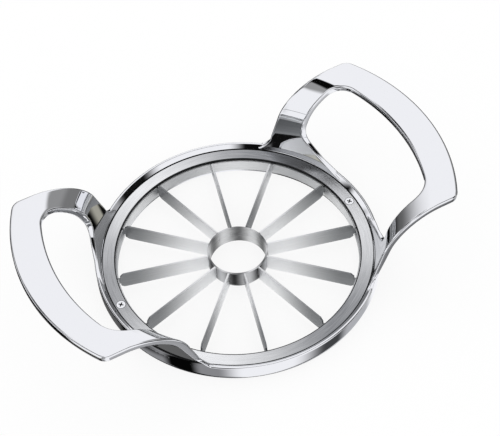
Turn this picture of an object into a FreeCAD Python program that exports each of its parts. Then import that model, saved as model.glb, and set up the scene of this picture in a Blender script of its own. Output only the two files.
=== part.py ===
import FreeCAD, Part
import math
import os
from types import SimpleNamespace

import Sketcher

# Apple slicer and corer: a cast frame with two looped handles round a set of twelve straight blades.
# The origin is the centre of the face that the rim stands on, +Z is up towards the handles, and the
# handles lie along X. Lengths are in millimetres and angles in degrees.

SIZES = [
    # the rim of the frame
    ("ring_diameter", 120.6, "outside of the rim"),
    ("rim_width", 2.6, "raised wall round the retaining ring"),
    ("rim_height", 10.0, "crest of the raised wall above the base"),
    ("crest_radius", 0.7, "rounding of the crest"),
    ("crest_rise", 0.3, "upright part of the raised wall above the retaining ring"),
    ("foot_radius", 4.5, "rounded outer edge under the rim"),
    ("seat_height", 6.8, "ledge that carries the retaining ring"),
    ("lip_height", 1.3, "thickness of the lip under the blade band"),
    ("lip_width", 0.75, "how far the lip reaches in under the blade band"),
    ("fit_clearance", 0.15, "radial clearance of the pieces laid in the frame"),
    # the handles
    ("overall_length", 184.0, "from the outside of one handle to the outside of the other"),
    ("handle_height", 42.7, "top of the handles above the base"),
    ("handle_width", 88.4, "over the two arms of a handle"),
    ("handle_thickness", 2.6, "thickness of the handle"),
    ("grip_width", 13.8, "width of the bowed grip in the middle of a handle"),
    ("bow_radius", 82.0, "curve of the outer side of the grip"),
    ("finger_bow_radius", 82.0, "curve of the finger opening beside the grip"),
    ("corner_radius", 5.0, "outer corners of a handle"),
    ("finger_width", 69.2, "finger opening between the arms"),
    ("finger_corner_radius", 10.0, "corners of the finger opening"),
    ("shoulder_radius", 22.0, "bend from the grip down into the arms, on its upper side"),
    ("flank_angle", 14.0, "lean of the arms outwards from the vertical"),
    ("arm_foot_height", 12.0, "where the back of an arm leaves the wall of the rim"),
    ("flare_radius", 8.0, "outer side of an arm where it spreads into the rim"),
    ("arch_radius", 9.0, "inner side of an arm where it turns towards the rim"),
    ("arch_slope", 35.0, "slope at which that turn runs on into the long arch over the rim"),
    ("arch_floor", 4.0, "level stretch of the rim between the feet of two arms"),
    # the retaining ring and its screws
    ("plate_thickness", 1.2, "thickness of the retaining ring"),
    ("plate_overhang", 0.6, "how far the retaining ring stands back from the inside of the band"),
    ("screw_inset", 2.9, "centre of each screw from the inside of the raised wall"),
    ("screw_diameter", 2.0, "shank of a screw"),
    ("screw_head_diameter", 3.8, "countersunk head of a screw"),
    ("screw_head_edge", 0.1, "upright edge of the head above its cone"),
    ("screw_length", 5.0, "whole length of a screw"),
    ("screw_clearance", 0.1, "radial clearance round the shank of a screw"),
    ("countersink_clearance", 0.05, "radial clearance round the head of a screw"),
    ("recess_width", 0.5, "width of one arm of the cross recess"),
    ("recess_span", 2.1, "tip to tip of the cross recess"),
    ("recess_depth", 0.7, "depth of the cross recess"),
    # the blade set
    ("cutting_diameter", 102.8, "inside of the blade band"),
    ("band_thickness", 1.1, "wall of the blade band"),
    ("blade_count", 12.0, "blades round the core ring"),
    ("blade_thickness", 0.8, "thickness of a blade"),
    ("blade_base", 0.9, "cutting edge of a blade above the base"),
    ("blade_height", 8.5, "cutting edge to back of a blade"),
    ("blade_end_gap", 0.7, "space between the end of a blade and the band"),
    ("blade_corner", 1.4, "cut corners at the outer end of a blade"),
    ("tab_height", 3.0, "height of the tabs at both ends of a blade"),
    ("slot_clearance", 0.05, "clearance on each side of a tab"),
    ("edge_height", 1.4, "height of the ground bevel along a cutting edge"),
    ("edge_width", 0.2, "flat left along a cutting edge"),
    ("core_diameter", 25.6, "outside of the core ring"),
    ("core_wall", 0.8, "wall of the core ring"),
    ("core_base", 0.3, "lower edge of the core ring above the base"),
    ("core_height", 8.8, "height of the core ring"),
]

CUT_MARGIN = 5.0  # how far a cutting outline runs past the metal that it takes away
ROOT_INSET = 0.5  # how far the root of an arm stays inside the faces of the rim's wall
ROOT_DEPTH = 3.0  # how deep the root of an arm reaches into the rim


class Size:
    """A number, and the spreadsheet formula that gives it."""

    def __init__(self, value, formula):
        self.value = float(value)
        self.formula = formula

    @staticmethod
    def of(number):
        """Return number itself if it is a Size, or a constant Size."""
        return number if isinstance(number, Size) else Size(number, repr(float(number)))

    def __add__(self, other):
        other = Size.of(other)
        return Size(self.value + other.value, f"({self.formula} + {other.formula})")

    def __sub__(self, other):
        other = Size.of(other)
        return Size(self.value - other.value, f"({self.formula} - {other.formula})")

    def __mul__(self, other):
        other = Size.of(other)
        return Size(self.value * other.value, f"({self.formula} * {other.formula})")

    def __truediv__(self, other):
        other = Size.of(other)
        return Size(self.value / other.value, f"({self.formula} / {other.formula})")

    def __neg__(self):
        return Size(-self.value, f"(-1 * {self.formula})")

    def __rsub__(self, other):
        return Size.of(other) - self

    def __rtruediv__(self, other):
        return Size.of(other) / self

    __radd__ = __add__
    __rmul__ = __mul__


def root(size):
    """Return the square root of a size."""
    return Size(math.sqrt(size.value), f"sqrt({size.formula})")


def sine(angle):
    """Return the sine of an angle in degrees."""
    return Size(math.sin(math.radians(angle.value)), f"sin({angle.formula})")


def cosine(angle):
    """Return the cosine of an angle in degrees."""
    return Size(math.cos(math.radians(angle.value)), f"cos({angle.formula})")


def write_sheet(doc):
    """Write the driving sizes into the document's sheet and return them by name."""
    sheet = doc.addObject("Spreadsheet::Sheet", "sizes")
    sizes = SimpleNamespace()
    for row, (name, value, note) in enumerate(SIZES, start=1):
        sheet.set(f"A{row}", name)
        sheet.set(f"B{row}", str(value))
        sheet.set(f"C{row}", note)
        sheet.setAlias(f"B{row}", name)
        setattr(sizes, name, Size(value, f"sizes.{name}"))
    doc.recompute()
    return sizes


def add_levels(sizes):
    """Add the radii and heights that several pieces share, worked out from the driving sizes."""
    sizes.ring_radius = sizes.ring_diameter / 2
    sizes.rim_inner = sizes.ring_radius - sizes.rim_width
    sizes.band_inner = sizes.cutting_diameter / 2
    sizes.band_outer = sizes.band_inner + sizes.band_thickness
    sizes.bore_radius = sizes.band_outer + sizes.fit_clearance
    sizes.plate_top = sizes.seat_height + sizes.plate_thickness
    sizes.crest_base = sizes.plate_top + sizes.crest_rise
    sizes.screw_circle_radius = sizes.rim_inner - sizes.screw_inset
    sizes.tab_base = sizes.seat_height - sizes.tab_height
    sizes.core_outer = sizes.core_diameter / 2
    sizes.core_inner = sizes.core_outer - sizes.core_wall
    sizes.slot_width = sizes.blade_thickness + 2 * sizes.slot_clearance
    sizes.screw_hole_diameter = sizes.screw_diameter + 2 * sizes.screw_clearance


# ---------------------------------------------------------------- sketches


def arc_centre(start, end, radius, turn):
    """Return the centre of a short arc from start to end that turns left (1) or right (-1)."""
    chord_x = end[0] - start[0]
    chord_y = end[1] - start[1]
    chord = math.hypot(chord_x, chord_y)
    height = math.sqrt(max(radius * radius - chord * chord / 4, 0.0))
    middle_x = (start[0] + end[0]) / 2
    middle_y = (start[1] + end[1]) / 2
    return (
        middle_x - turn * height * chord_y / chord,
        middle_y + turn * height * chord_x / chord,
    )


def hold(sketch, kind, edge, place, size):
    """Hold one coordinate of a point at a size, with the size's formula where it has one."""
    axis = -2 if kind == "DistanceX" else -1
    if size.value == 0:
        sketch.addConstraint(Sketcher.Constraint("PointOnObject", edge, place, axis))
        return
    index = sketch.addConstraint(Sketcher.Constraint(kind, -1, 1, edge, place, size.value))
    if "sizes." in size.formula:
        sketch.setExpression(f"Constraints[{index}]", size.formula)


def draw_outline(sketch, corners):
    """Draw a closed outline. Each corner is (x, y) or (x, y, radius, turn), where the edge that
    leaves it is an arc that turns left (1) or right (-1)."""
    corners = [tuple(Size.of(part) for part in corner[:3]) + corner[3:] for corner in corners]
    ends = []
    for number, corner in enumerate(corners):
        after = corners[(number + 1) % len(corners)]
        start = (corner[0].value, corner[1].value)
        end = (after[0].value, after[1].value)
        if len(corner) == 2:
            line = Part.LineSegment(FreeCAD.Vector(*start, 0), FreeCAD.Vector(*end, 0))
            ends.append((sketch.addGeometry(line), 1, 2))
            continue
        radius, turn = corner[2:]
        centre = arc_centre(start, end, radius.value, turn)
        first, last = (start, end) if turn > 0 else (end, start)
        first_angle = math.atan2(first[1] - centre[1], first[0] - centre[0])
        last_angle = math.atan2(last[1] - centre[1], last[0] - centre[0])
        circle = Part.Circle(FreeCAD.Vector(*centre, 0), FreeCAD.Vector(0, 0, 1), radius.value)
        edge = sketch.addGeometry(Part.ArcOfCircle(circle, first_angle, last_angle))
        ends.append((edge, 1, 2) if turn > 0 else (edge, 2, 1))
        index = sketch.addConstraint(Sketcher.Constraint("Radius", edge, radius.value))
        if "sizes." in radius.formula:
            sketch.setExpression(f"Constraints[{index}]", radius.formula)
    for number, (edge, place, _) in enumerate(ends):
        before, _, before_place = ends[number - 1]
        sketch.addConstraint(Sketcher.Constraint("Coincident", before, before_place, edge, place))
        hold(sketch, "DistanceX", edge, place, corners[number][0])
        hold(sketch, "DistanceY", edge, place, corners[number][1])


def draw_circle(sketch, x, y, radius):
    """Draw a circle held by its centre and radius."""
    circle = Part.Circle(FreeCAD.Vector(x.value, y.value, 0), FreeCAD.Vector(0, 0, 1), radius.value)
    edge = sketch.addGeometry(circle)
    index = sketch.addConstraint(Sketcher.Constraint("Radius", edge, radius.value))
    sketch.setExpression(f"Constraints[{index}]", radius.formula)
    hold(sketch, "DistanceX", edge, 3, x)
    hold(sketch, "DistanceY", edge, 3, y)


def mirrored(corners):
    """Return an outline mirrored from +x to -x, with its arcs turning the other way."""
    flipped = []
    for corner in corners:
        corner = tuple(corner)
        bend = (corner[2], -corner[3]) if len(corner) > 2 else ()
        flipped.append((-Size.of(corner[0]), corner[1]) + bend)
    return flipped


def new_body(doc, label):
    """Return a new empty body with this label."""
    body = doc.addObject("PartDesign::Body", label)
    body.Label = label
    return body


def new_sketch(body, name, plane, offset=None):
    """Return a new sketch on one of the body's own planes, raised along its normal by offset."""
    sketch = body.newObject("Sketcher::SketchObject", f"{body.Label}_{name}")
    origin_plane = [item for item in body.Origin.OriginFeatures if item.Role == plane][0]
    sketch.AttachmentSupport = [(origin_plane, "")]
    sketch.MapMode = "FlatFace"
    if offset is not None:
        sketch.setExpression("AttachmentOffset.Base.z", offset.formula)
    return sketch


# ---------------------------------------------------------------- features


def revolve(body, sketch):
    """Turn a sketch once round the Z axis."""
    feature = body.newObject("PartDesign::Revolution", f"{sketch.Name}_turned")
    feature.Profile = sketch
    feature.ReferenceAxis = (sketch, ["V_Axis"])
    feature.Angle = 360.0
    return feature


def pad(body, sketch, length):
    """Pad a sketch along its normal by a size."""
    feature = body.newObject("PartDesign::Pad", f"{sketch.Name}_pad")
    feature.Profile = sketch
    feature.Type = "Length"
    feature.setExpression("Length", length.formula)
    return feature


def pocket_through(body, sketch, both_ways):
    """Cut a sketch right through, along its normal or both ways."""
    feature = body.newObject("PartDesign::Pocket", f"{sketch.Name}_cut")
    feature.Profile = sketch
    feature.Type = "ThroughAll"
    feature.SideType = "Symmetric" if both_ways else "One side"
    feature.Reversed = not both_ways
    return feature


def pocket_down(body, sketch, depth):
    """Cut a sketch downwards from its plane by a depth."""
    feature = body.newObject("PartDesign::Pocket", f"{sketch.Name}_pocket")
    feature.Profile = sketch
    feature.Type = "Length"
    feature.setExpression("Length", depth.formula)
    return feature


def repeat_round(body, feature, count):
    """Repeat a feature round the Z axis, count times in a whole turn."""
    pattern = body.newObject("PartDesign::PolarPattern", f"{feature.Name}_pattern")
    pattern.Originals = [feature]
    pattern.Axis = ([item for item in body.Origin.OriginFeatures if item.Role == "Z_Axis"][0], [""])
    pattern.Angle = 360.0
    pattern.setExpression("Occurrences", count.formula)
    body.Tip = pattern
    return pattern


# ---------------------------------------------------------------- the frame


def tangent_point(from_x, from_y, centre_x, centre_y, radius):
    """Return where a line from a point touches a circle, on the side nearer the circle's top left."""
    across = centre_x - from_x
    up = centre_y - from_y
    distance_squared = across * across + up * up
    reach = root(distance_squared - radius * radius)
    along = reach * reach / distance_squared
    aside = radius * reach / distance_squared
    return from_x + along * across - aside * up, from_y + along * up + aside * across


def rim_section(sizes):
    """Return the section of the rim: foot, wall, rounded crest sloping in to the retaining ring,
    ledge, bore and lip."""
    lip_inner = sizes.bore_radius - sizes.lip_width
    crest_x = sizes.ring_radius - sizes.crest_radius
    crest_z = sizes.rim_height - sizes.crest_radius
    slope_end = tangent_point(
        sizes.rim_inner, sizes.crest_base, crest_x, crest_z, sizes.crest_radius
    )
    return [
        (lip_inner, 0),
        (sizes.ring_radius - sizes.foot_radius, 0, sizes.foot_radius, 1),
        (sizes.ring_radius, sizes.foot_radius),
        (sizes.ring_radius, crest_z, sizes.crest_radius, 1),
        slope_end,
        (sizes.rim_inner, sizes.crest_base),
        (sizes.rim_inner, sizes.seat_height),
        (sizes.bore_radius, sizes.seat_height),
        (sizes.bore_radius, sizes.lip_height),
        (lip_inner, sizes.lip_height),
    ]


def shell_section(sizes):
    """Return the section of the shell that the arms and handles are trimmed from: it leaves the
    top of the rim, leans out, bends over the shoulder and ends level at the handle's height."""
    centre_height = sizes.handle_height - sizes.shoulder_radius
    lean = sine(sizes.flank_angle) / cosine(sizes.flank_angle)
    bend_x = sizes.shoulder_radius * cosine(sizes.flank_angle)
    bend_y = sizes.shoulder_radius * sine(sizes.flank_angle)
    bend_start_height = centre_height + bend_y
    bend_start_radius = sizes.rim_inner + (bend_start_height - sizes.crest_base) * lean
    centre_radius = bend_start_radius + bend_x
    under_radius = sizes.shoulder_radius - sizes.handle_thickness
    under_height = sizes.handle_height - sizes.handle_thickness
    under_bend = tangent_point(
        sizes.ring_radius, sizes.arm_foot_height, centre_radius, centre_height, under_radius
    )
    far = sizes.overall_length / 2 + CUT_MARGIN
    root_inner = sizes.rim_inner + ROOT_INSET
    root_outer = sizes.ring_radius - ROOT_INSET
    root_base = sizes.plate_top - ROOT_DEPTH
    return [
        (root_inner, root_base),
        (root_outer, root_base),
        (root_outer, sizes.plate_top),
        (sizes.ring_radius, sizes.plate_top + ROOT_INSET),
        (sizes.ring_radius, sizes.arm_foot_height),
        (under_bend[0], under_bend[1], under_radius, -1),
        (centre_radius, under_height),
        (far, under_height),
        (far, sizes.handle_height),
        (centre_radius, sizes.handle_height, sizes.shoulder_radius, 1),
        (bend_start_radius, bend_start_height),
        (sizes.rim_inner, sizes.crest_base),
        (root_inner, sizes.plate_top),
    ]


def bowed_end(start_x, reach, bow_radius, half_width, corner_radius):
    """Return the right-hand end of a handle outline: two straight sides that start at start_x,
    rounded corners, and a bow across the end that reaches out to x = reach."""
    bow_centre = reach - bow_radius
    inner_radius = bow_radius - corner_radius
    corner_y = half_width - corner_radius
    corner_x = bow_centre + root(inner_radius * inner_radius - corner_y * corner_y)
    stretch = bow_radius / inner_radius
    bow_x = bow_centre + (corner_x - bow_centre) * stretch
    bow_y = corner_y * stretch
    return [
        (start_x, -half_width),
        (corner_x, -half_width, corner_radius, 1),
        (bow_x, -bow_y, bow_radius, 1),
        (bow_x, bow_y, corner_radius, 1),
        (corner_x, half_width),
        (start_x, half_width),
    ]


def arch_outline(sizes):
    """Return the opening between the two arms of a handle, seen along X: straight sides that turn
    in two tangent arcs into a level floor over the rim."""
    half_width = sizes.finger_width / 2
    half_floor = sizes.arch_floor / 2
    floor = sizes.plate_top
    turn_y = half_width - sizes.arch_radius * (1 - sine(sizes.arch_slope))
    long_radius = (turn_y - half_floor) / sine(sizes.arch_slope)
    turn_z = floor + long_radius * (1 - cosine(sizes.arch_slope))
    side_z = turn_z + sizes.arch_radius * cosine(sizes.arch_slope)
    top = sizes.handle_height - sizes.handle_thickness
    return [
        (-half_floor, floor),
        (half_floor, floor, long_radius, 1),
        (turn_y, turn_z, sizes.arch_radius, 1),
        (half_width, side_z),
        (half_width, top),
        (-half_width, top),
        (-half_width, side_z, sizes.arch_radius, 1),
        (-turn_y, turn_z, long_radius, 1),
    ]


def flare_outline(sizes):
    """Return what is cut away outside an arm, seen along X: a straight side that spreads into the
    rim in one arc."""
    half_width = sizes.handle_width / 2
    floor = sizes.plate_top
    far = sizes.ring_radius + sizes.overall_length
    top = sizes.handle_height + CUT_MARGIN
    return [
        (half_width, top),
        (half_width, floor + sizes.flare_radius, sizes.flare_radius, 1),
        (half_width + sizes.flare_radius, floor),
        (far, floor),
        (far, top),
    ]


def make_rim(doc, sizes):
    """Make the round rim with its ledge, lip and two blind screw holes."""
    body = new_body(doc, "rim_casting")
    section = new_sketch(body, "section", "XZ_Plane")
    draw_outline(section, rim_section(sizes))
    revolve(body, section)
    doc.recompute()
    holes = new_sketch(body, "screw_holes", "XY_Plane", sizes.seat_height)
    for side in (-1, 1):
        draw_circle(holes, side * sizes.screw_circle_radius, Size.of(0), sizes.screw_hole_diameter / 2)
    depth = sizes.screw_length - sizes.plate_thickness + sizes.screw_clearance
    pocket_down(body, holes, depth)
    return body


def make_handles(doc, sizes):
    """Make both handles with their arms, trimmed from one turned shell."""
    body = new_body(doc, "handle_casting")
    section = new_sketch(body, "section", "XZ_Plane")
    draw_outline(section, shell_section(sizes))
    revolve(body, section)
    doc.recompute()

    reach = sizes.overall_length / 2
    half_width = sizes.handle_width / 2
    far = reach + 2 * CUT_MARGIN
    start_x = sizes.rim_inner
    plan = new_sketch(body, "plan", "XY_Plane", sizes.rim_height + 2 * ROOT_INSET)
    outside = bowed_end(start_x, reach, sizes.bow_radius, half_width, sizes.corner_radius)
    outside += [(start_x, far), (far, far), (far, -far), (start_x, -far)]
    opening = bowed_end(
        start_x,
        reach - sizes.grip_width,
        sizes.finger_bow_radius,
        sizes.finger_width / 2,
        sizes.finger_corner_radius,
    )
    for outline in (outside, opening):
        draw_outline(plan, outline)
        draw_outline(plan, mirrored(outline))
    pocket_through(body, plan, both_ways=False)
    doc.recompute()

    side = new_sketch(body, "side", "YZ_Plane")
    draw_outline(side, arch_outline(sizes))
    draw_outline(side, flare_outline(sizes))
    draw_outline(side, mirrored(flare_outline(sizes)))
    pocket_through(body, side, both_ways=True)
    return body


def make_frame(doc, sizes):
    """Make the one-piece cast frame: the rim and the handles grown together."""
    rim = make_rim(doc, sizes)
    handles = make_handles(doc, sizes)
    frame = doc.addObject("Part::MultiFuse", "handle_frame")
    frame.Label = "handle_frame"
    frame.Shapes = [rim, handles]
    frame.Refine = True
    return frame


# ---------------------------------------------------------------- retaining ring and screws


def make_retaining_ring(doc, sizes):
    """Make the flat ring that holds the blade set down, with its two countersunk holes."""
    body = new_body(doc, "retaining_ring")
    section = new_sketch(body, "section", "XZ_Plane")
    inner = sizes.band_inner + sizes.plate_overhang
    outer = sizes.rim_inner - sizes.fit_clearance
    corners = [
        (inner, sizes.seat_height),
        (outer, sizes.seat_height),
        (outer, sizes.plate_top),
        (inner, sizes.plate_top),
    ]
    draw_outline(section, corners)
    revolve(body, section)
    doc.recompute()
    centres = new_sketch(body, "screw_holes", "XY_Plane", sizes.plate_top)
    for side in (-1, 1):
        draw_circle(centres, side * sizes.screw_circle_radius, Size.of(0), sizes.screw_hole_diameter / 2)
    hole = body.newObject("PartDesign::Hole", "retaining_ring_countersinks")
    hole.Profile = centres
    doc.recompute()
    hole.ThreadType = "None"
    hole.setExpression("Diameter", sizes.screw_hole_diameter.formula)
    hole.DepthType = "ThroughAll"
    hole.HoleCutType = "Countersink"
    hole.HoleCutCustomValues = True
    mouth = sizes.screw_head_diameter + 2 * (sizes.screw_head_edge + sizes.countersink_clearance)
    hole.setExpression("HoleCutDiameter", mouth.formula)
    hole.HoleCutCountersinkAngle = 90.0
    return body


def make_screw(doc, sizes, label, side):
    """Make a countersunk cross-recess screw on one side of the rim."""
    body = new_body(doc, label)
    section = new_sketch(body, "section", "XZ_Plane")
    head = sizes.screw_head_diameter / 2
    shank = sizes.screw_diameter / 2
    tip = shank / 2
    cone_base = -sizes.screw_head_edge - (head - shank)
    corners = [
        (0, 0),
        (0, -sizes.screw_length),
        (tip, -sizes.screw_length),
        (shank, tip - sizes.screw_length),
        (shank, cone_base),
        (head, -sizes.screw_head_edge),
        (head, 0),
    ]
    draw_outline(section, corners)
    revolve(body, section)
    doc.recompute()
    recess = new_sketch(body, "recess", "XY_Plane")
    near = sizes.recess_width / 2
    tip_reach = sizes.recess_span / 2
    quarter = [(near, -tip_reach), (near, -near), (tip_reach, -near), (tip_reach, near)]
    half = quarter + [(near, near), (near, tip_reach)]
    opposite = [(-x, -y) for x, y in half]
    draw_outline(recess, half + opposite)
    pocket_down(body, recess, sizes.recess_depth)
    body.setExpression("Placement.Base.x", (side * sizes.screw_circle_radius).formula)
    body.setExpression("Placement.Base.z", sizes.plate_top.formula)
    return body


# ---------------------------------------------------------------- blade set


def make_band(doc, sizes):
    """Make the hoop that carries the outer ends of the blades in open notches."""
    body = new_body(doc, "blade_band")
    section = new_sketch(body, "section", "XZ_Plane")
    corners = [
        (sizes.band_inner, sizes.lip_height),
        (sizes.band_outer, sizes.lip_height),
        (sizes.band_outer, sizes.seat_height),
        (sizes.band_inner, sizes.seat_height),
    ]
    draw_outline(section, corners)
    revolve(body, section)
    doc.recompute()
    notch = new_sketch(body, "notch", "XY_Plane", sizes.seat_height)
    draw_outline(notch, slot_plan(sizes.slot_width, sizes.band_inner, sizes.band_outer))
    cut = pocket_down(body, notch, sizes.tab_height)
    doc.recompute()
    repeat_round(body, cut, sizes.blade_count)
    turn_to_first_blade(body, sizes)
    return body


def slot_plan(width, inner, outer):
    """Return the outline, seen from above, of a slot across a round wall on the +X side."""
    return [
        (inner - width, -width / 2),
        (outer + width, -width / 2),
        (outer + width, width / 2),
        (inner - width, width / 2),
    ]


def make_core_ring(doc, sizes):
    """Make the core ring: a thin tube with a ground lower edge and a window for each blade."""
    body = new_body(doc, "core_ring")
    section = new_sketch(body, "section", "XZ_Plane")
    corners = [
        (sizes.core_inner, sizes.core_base),
        (sizes.core_inner + sizes.edge_width, sizes.core_base),
        (sizes.core_outer, sizes.core_base + sizes.edge_height),
        (sizes.core_outer, sizes.core_base + sizes.core_height),
        (sizes.core_inner, sizes.core_base + sizes.core_height),
    ]
    draw_outline(section, corners)
    revolve(body, section)
    doc.recompute()
    window = new_sketch(body, "window", "XY_Plane", sizes.seat_height)
    draw_outline(window, slot_plan(sizes.slot_width, sizes.core_inner, sizes.core_outer))
    cut = pocket_down(body, window, sizes.tab_height)
    doc.recompute()
    repeat_round(body, cut, sizes.blade_count)
    turn_to_first_blade(body, sizes)
    return body


def turn_to_first_blade(body, sizes):
    """Turn a body about Z so that its first slot faces the first blade."""
    half_step = 180 / sizes.blade_count
    body.setExpression("Placement.Rotation.Angle", half_step.formula)


def make_blade(doc, sizes, number):
    """Make one blade, with its ground lower edge and its two tabs, and turn it to its place."""
    body = new_body(doc, f"blade_{number:02d}")
    top = sizes.blade_base + sizes.blade_height
    half = sizes.blade_thickness / 2
    half_edge = sizes.edge_width / 2
    bevel_top = sizes.blade_base + sizes.edge_height
    section = new_sketch(body, "section", "YZ_Plane", sizes.core_inner)
    corners = [
        (-half_edge, sizes.blade_base),
        (half_edge, sizes.blade_base),
        (half, bevel_top),
        (half, top),
        (-half, top),
        (-half, bevel_top),
    ]
    draw_outline(section, corners)
    pad(body, section, sizes.band_outer - sizes.core_inner)
    doc.recompute()

    inner_end = sizes.core_outer + sizes.slot_clearance
    outer_end = sizes.band_inner - sizes.blade_end_gap
    past_inner = sizes.core_inner - CUT_MARGIN
    past_outer = sizes.band_outer + CUT_MARGIN
    below = sizes.blade_base - CUT_MARGIN
    above = top + CUT_MARGIN
    ends = new_sketch(body, "ends", "XZ_Plane")
    for level, edge, beyond, side in (
        (sizes.tab_base, sizes.blade_base, below, 1),
        (sizes.seat_height, top, above, -1),
    ):
        inner_corner = [
            (past_inner, beyond),
            (inner_end, beyond),
            (inner_end, level),
            (past_inner, level),
        ]
        outer_corner = [
            (past_outer, beyond),
            (past_outer, level),
            (outer_end, level),
            (outer_end, edge + side * sizes.blade_corner),
            (outer_end - sizes.blade_corner, edge),
            (outer_end - sizes.blade_corner, beyond),
        ]
        draw_outline(ends, inner_corner)
        draw_outline(ends, outer_corner)
    pocket_through(body, ends, both_ways=True)
    turn = (number - 0.5) * 360 / sizes.blade_count
    body.setExpression("Placement.Rotation.Angle", turn.formula)
    return body


# ---------------------------------------------------------------- the whole part


def check(doc, parts):
    """Stop if anything in the document failed, or a piece has no valid shape."""
    for item in doc.Objects:
        if "Invalid" in item.State or "Error" in item.State:
            raise RuntimeError(f"{item.Label} failed to build: {item.State}")
    for part in parts:
        if part.Shape.isNull() or not part.Shape.isValid():
            raise RuntimeError(f"{part.Label} has no valid shape")
        if len(part.Shape.Solids) != 1:
            raise RuntimeError(f"{part.Label} is {len(part.Shape.Solids)} solids, not one")


def main():
    """Build every piece, check it, and write each one to its own file."""
    doc = FreeCAD.newDocument("apple_slicer")
    sizes = write_sheet(doc)
    add_levels(sizes)
    parts = [
        make_frame(doc, sizes),
        make_retaining_ring(doc, sizes),
        make_screw(doc, sizes, "left_screw", -1),
        make_screw(doc, sizes, "right_screw", 1),
        make_band(doc, sizes),
        make_core_ring(doc, sizes),
    ]
    for number in range(1, int(sizes.blade_count.value) + 1):
        parts.append(make_blade(doc, sizes, number))
    doc.recompute()
    check(doc, parts)
    os.makedirs("parts", exist_ok=True)
    for part in parts:
        part.Shape.exportStep(f"parts/{part.Label}.step")
        box = part.Shape.BoundBox
        print(
            f"{part.Label}: {part.Shape.Volume:.1f} mm3, x {box.XMin:.2f}..{box.XMax:.2f},"
            f" y {box.YMin:.2f}..{box.YMax:.2f}, z {box.ZMin:.2f}..{box.ZMax:.2f}"
        )


main()
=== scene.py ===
import logging
import math
from dataclasses import dataclass, field
from enum import Enum
from typing import Callable, Iterable, Sequence

import bmesh
import bpy
from mathutils import Matrix, Vector


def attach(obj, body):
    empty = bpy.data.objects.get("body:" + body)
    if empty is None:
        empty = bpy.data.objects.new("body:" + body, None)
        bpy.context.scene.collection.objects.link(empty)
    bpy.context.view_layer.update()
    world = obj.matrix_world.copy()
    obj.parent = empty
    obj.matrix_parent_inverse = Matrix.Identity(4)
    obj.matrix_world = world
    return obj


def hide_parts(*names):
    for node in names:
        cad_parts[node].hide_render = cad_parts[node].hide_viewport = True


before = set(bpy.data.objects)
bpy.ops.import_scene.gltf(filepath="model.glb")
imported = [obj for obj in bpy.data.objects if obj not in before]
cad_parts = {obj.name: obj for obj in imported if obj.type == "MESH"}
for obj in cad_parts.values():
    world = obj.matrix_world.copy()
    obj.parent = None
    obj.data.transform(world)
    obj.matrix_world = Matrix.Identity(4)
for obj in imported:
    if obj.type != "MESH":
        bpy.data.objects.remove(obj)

# An apple slicer and corer: a chromed casting with two looped handles, a satin retaining ring with
# two screws, and a set of twelve brushed blades between a band and a core ring. Lengths are in
# millimetres until they reach Blender, which works in metres.

LOG = logging.getLogger("apple_slicer")
MM = 0.001
BODY = "root"
MERGE = 0.001 * MM  # vertices closer than this are one
SMALL_ROUND = 48  # vertices round a screw or its hole


class Slot(Enum):
    """The material slots of the part's record."""

    CASTING = "polished_casting"
    RING = "satin_ring"
    SCREWS = "bright_screws"
    BLADES = "brushed_blades"


class Face(Enum):
    """The two broad faces of a handle."""

    UPPER = "upper"
    LOWER = "lower"


# ---------------------------------------------------------------- colours and nodes


def linear(code: str) -> tuple[float, float, float, float]:
    """Turn an sRGB hex colour into the linear colour that a shader takes.

    Args:
        code: The colour as "#RRGGBB".

    Returns:
        Linear red, green and blue, and an alpha of 1.
    """
    parts = [int(code[start : start + 2], 16) / 255 for start in (1, 3, 5)]
    red, green, blue = (
        part / 12.92 if part <= 0.04045 else ((part + 0.055) / 1.055) ** 2.4 for part in parts
    )
    return red, green, blue, 1.0


def add_node(
    tree: bpy.types.NodeTree, kind: str, inputs: dict | None = None, **settings: object
) -> bpy.types.Node:
    """Add a node with its settings, and set or link its inputs.

    Args:
        tree: The node tree that gets the node.
        kind: The node's Blender type, without the ShaderNode that it starts with.
        inputs: Values or output sockets, by the name or number of the input that takes them.
        **settings: The node's own properties.

    Returns:
        The new node.
    """
    node = tree.nodes.new("ShaderNode" + kind)
    for name, value in settings.items():
        setattr(node, name, value)
    for name, value in (inputs or {}).items():
        if isinstance(value, bpy.types.NodeSocket):
            tree.links.new(value, node.inputs[name])
        else:
            node.inputs[name].default_value = value
    return node


# ---------------------------------------------------------------- mesh work


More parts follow.
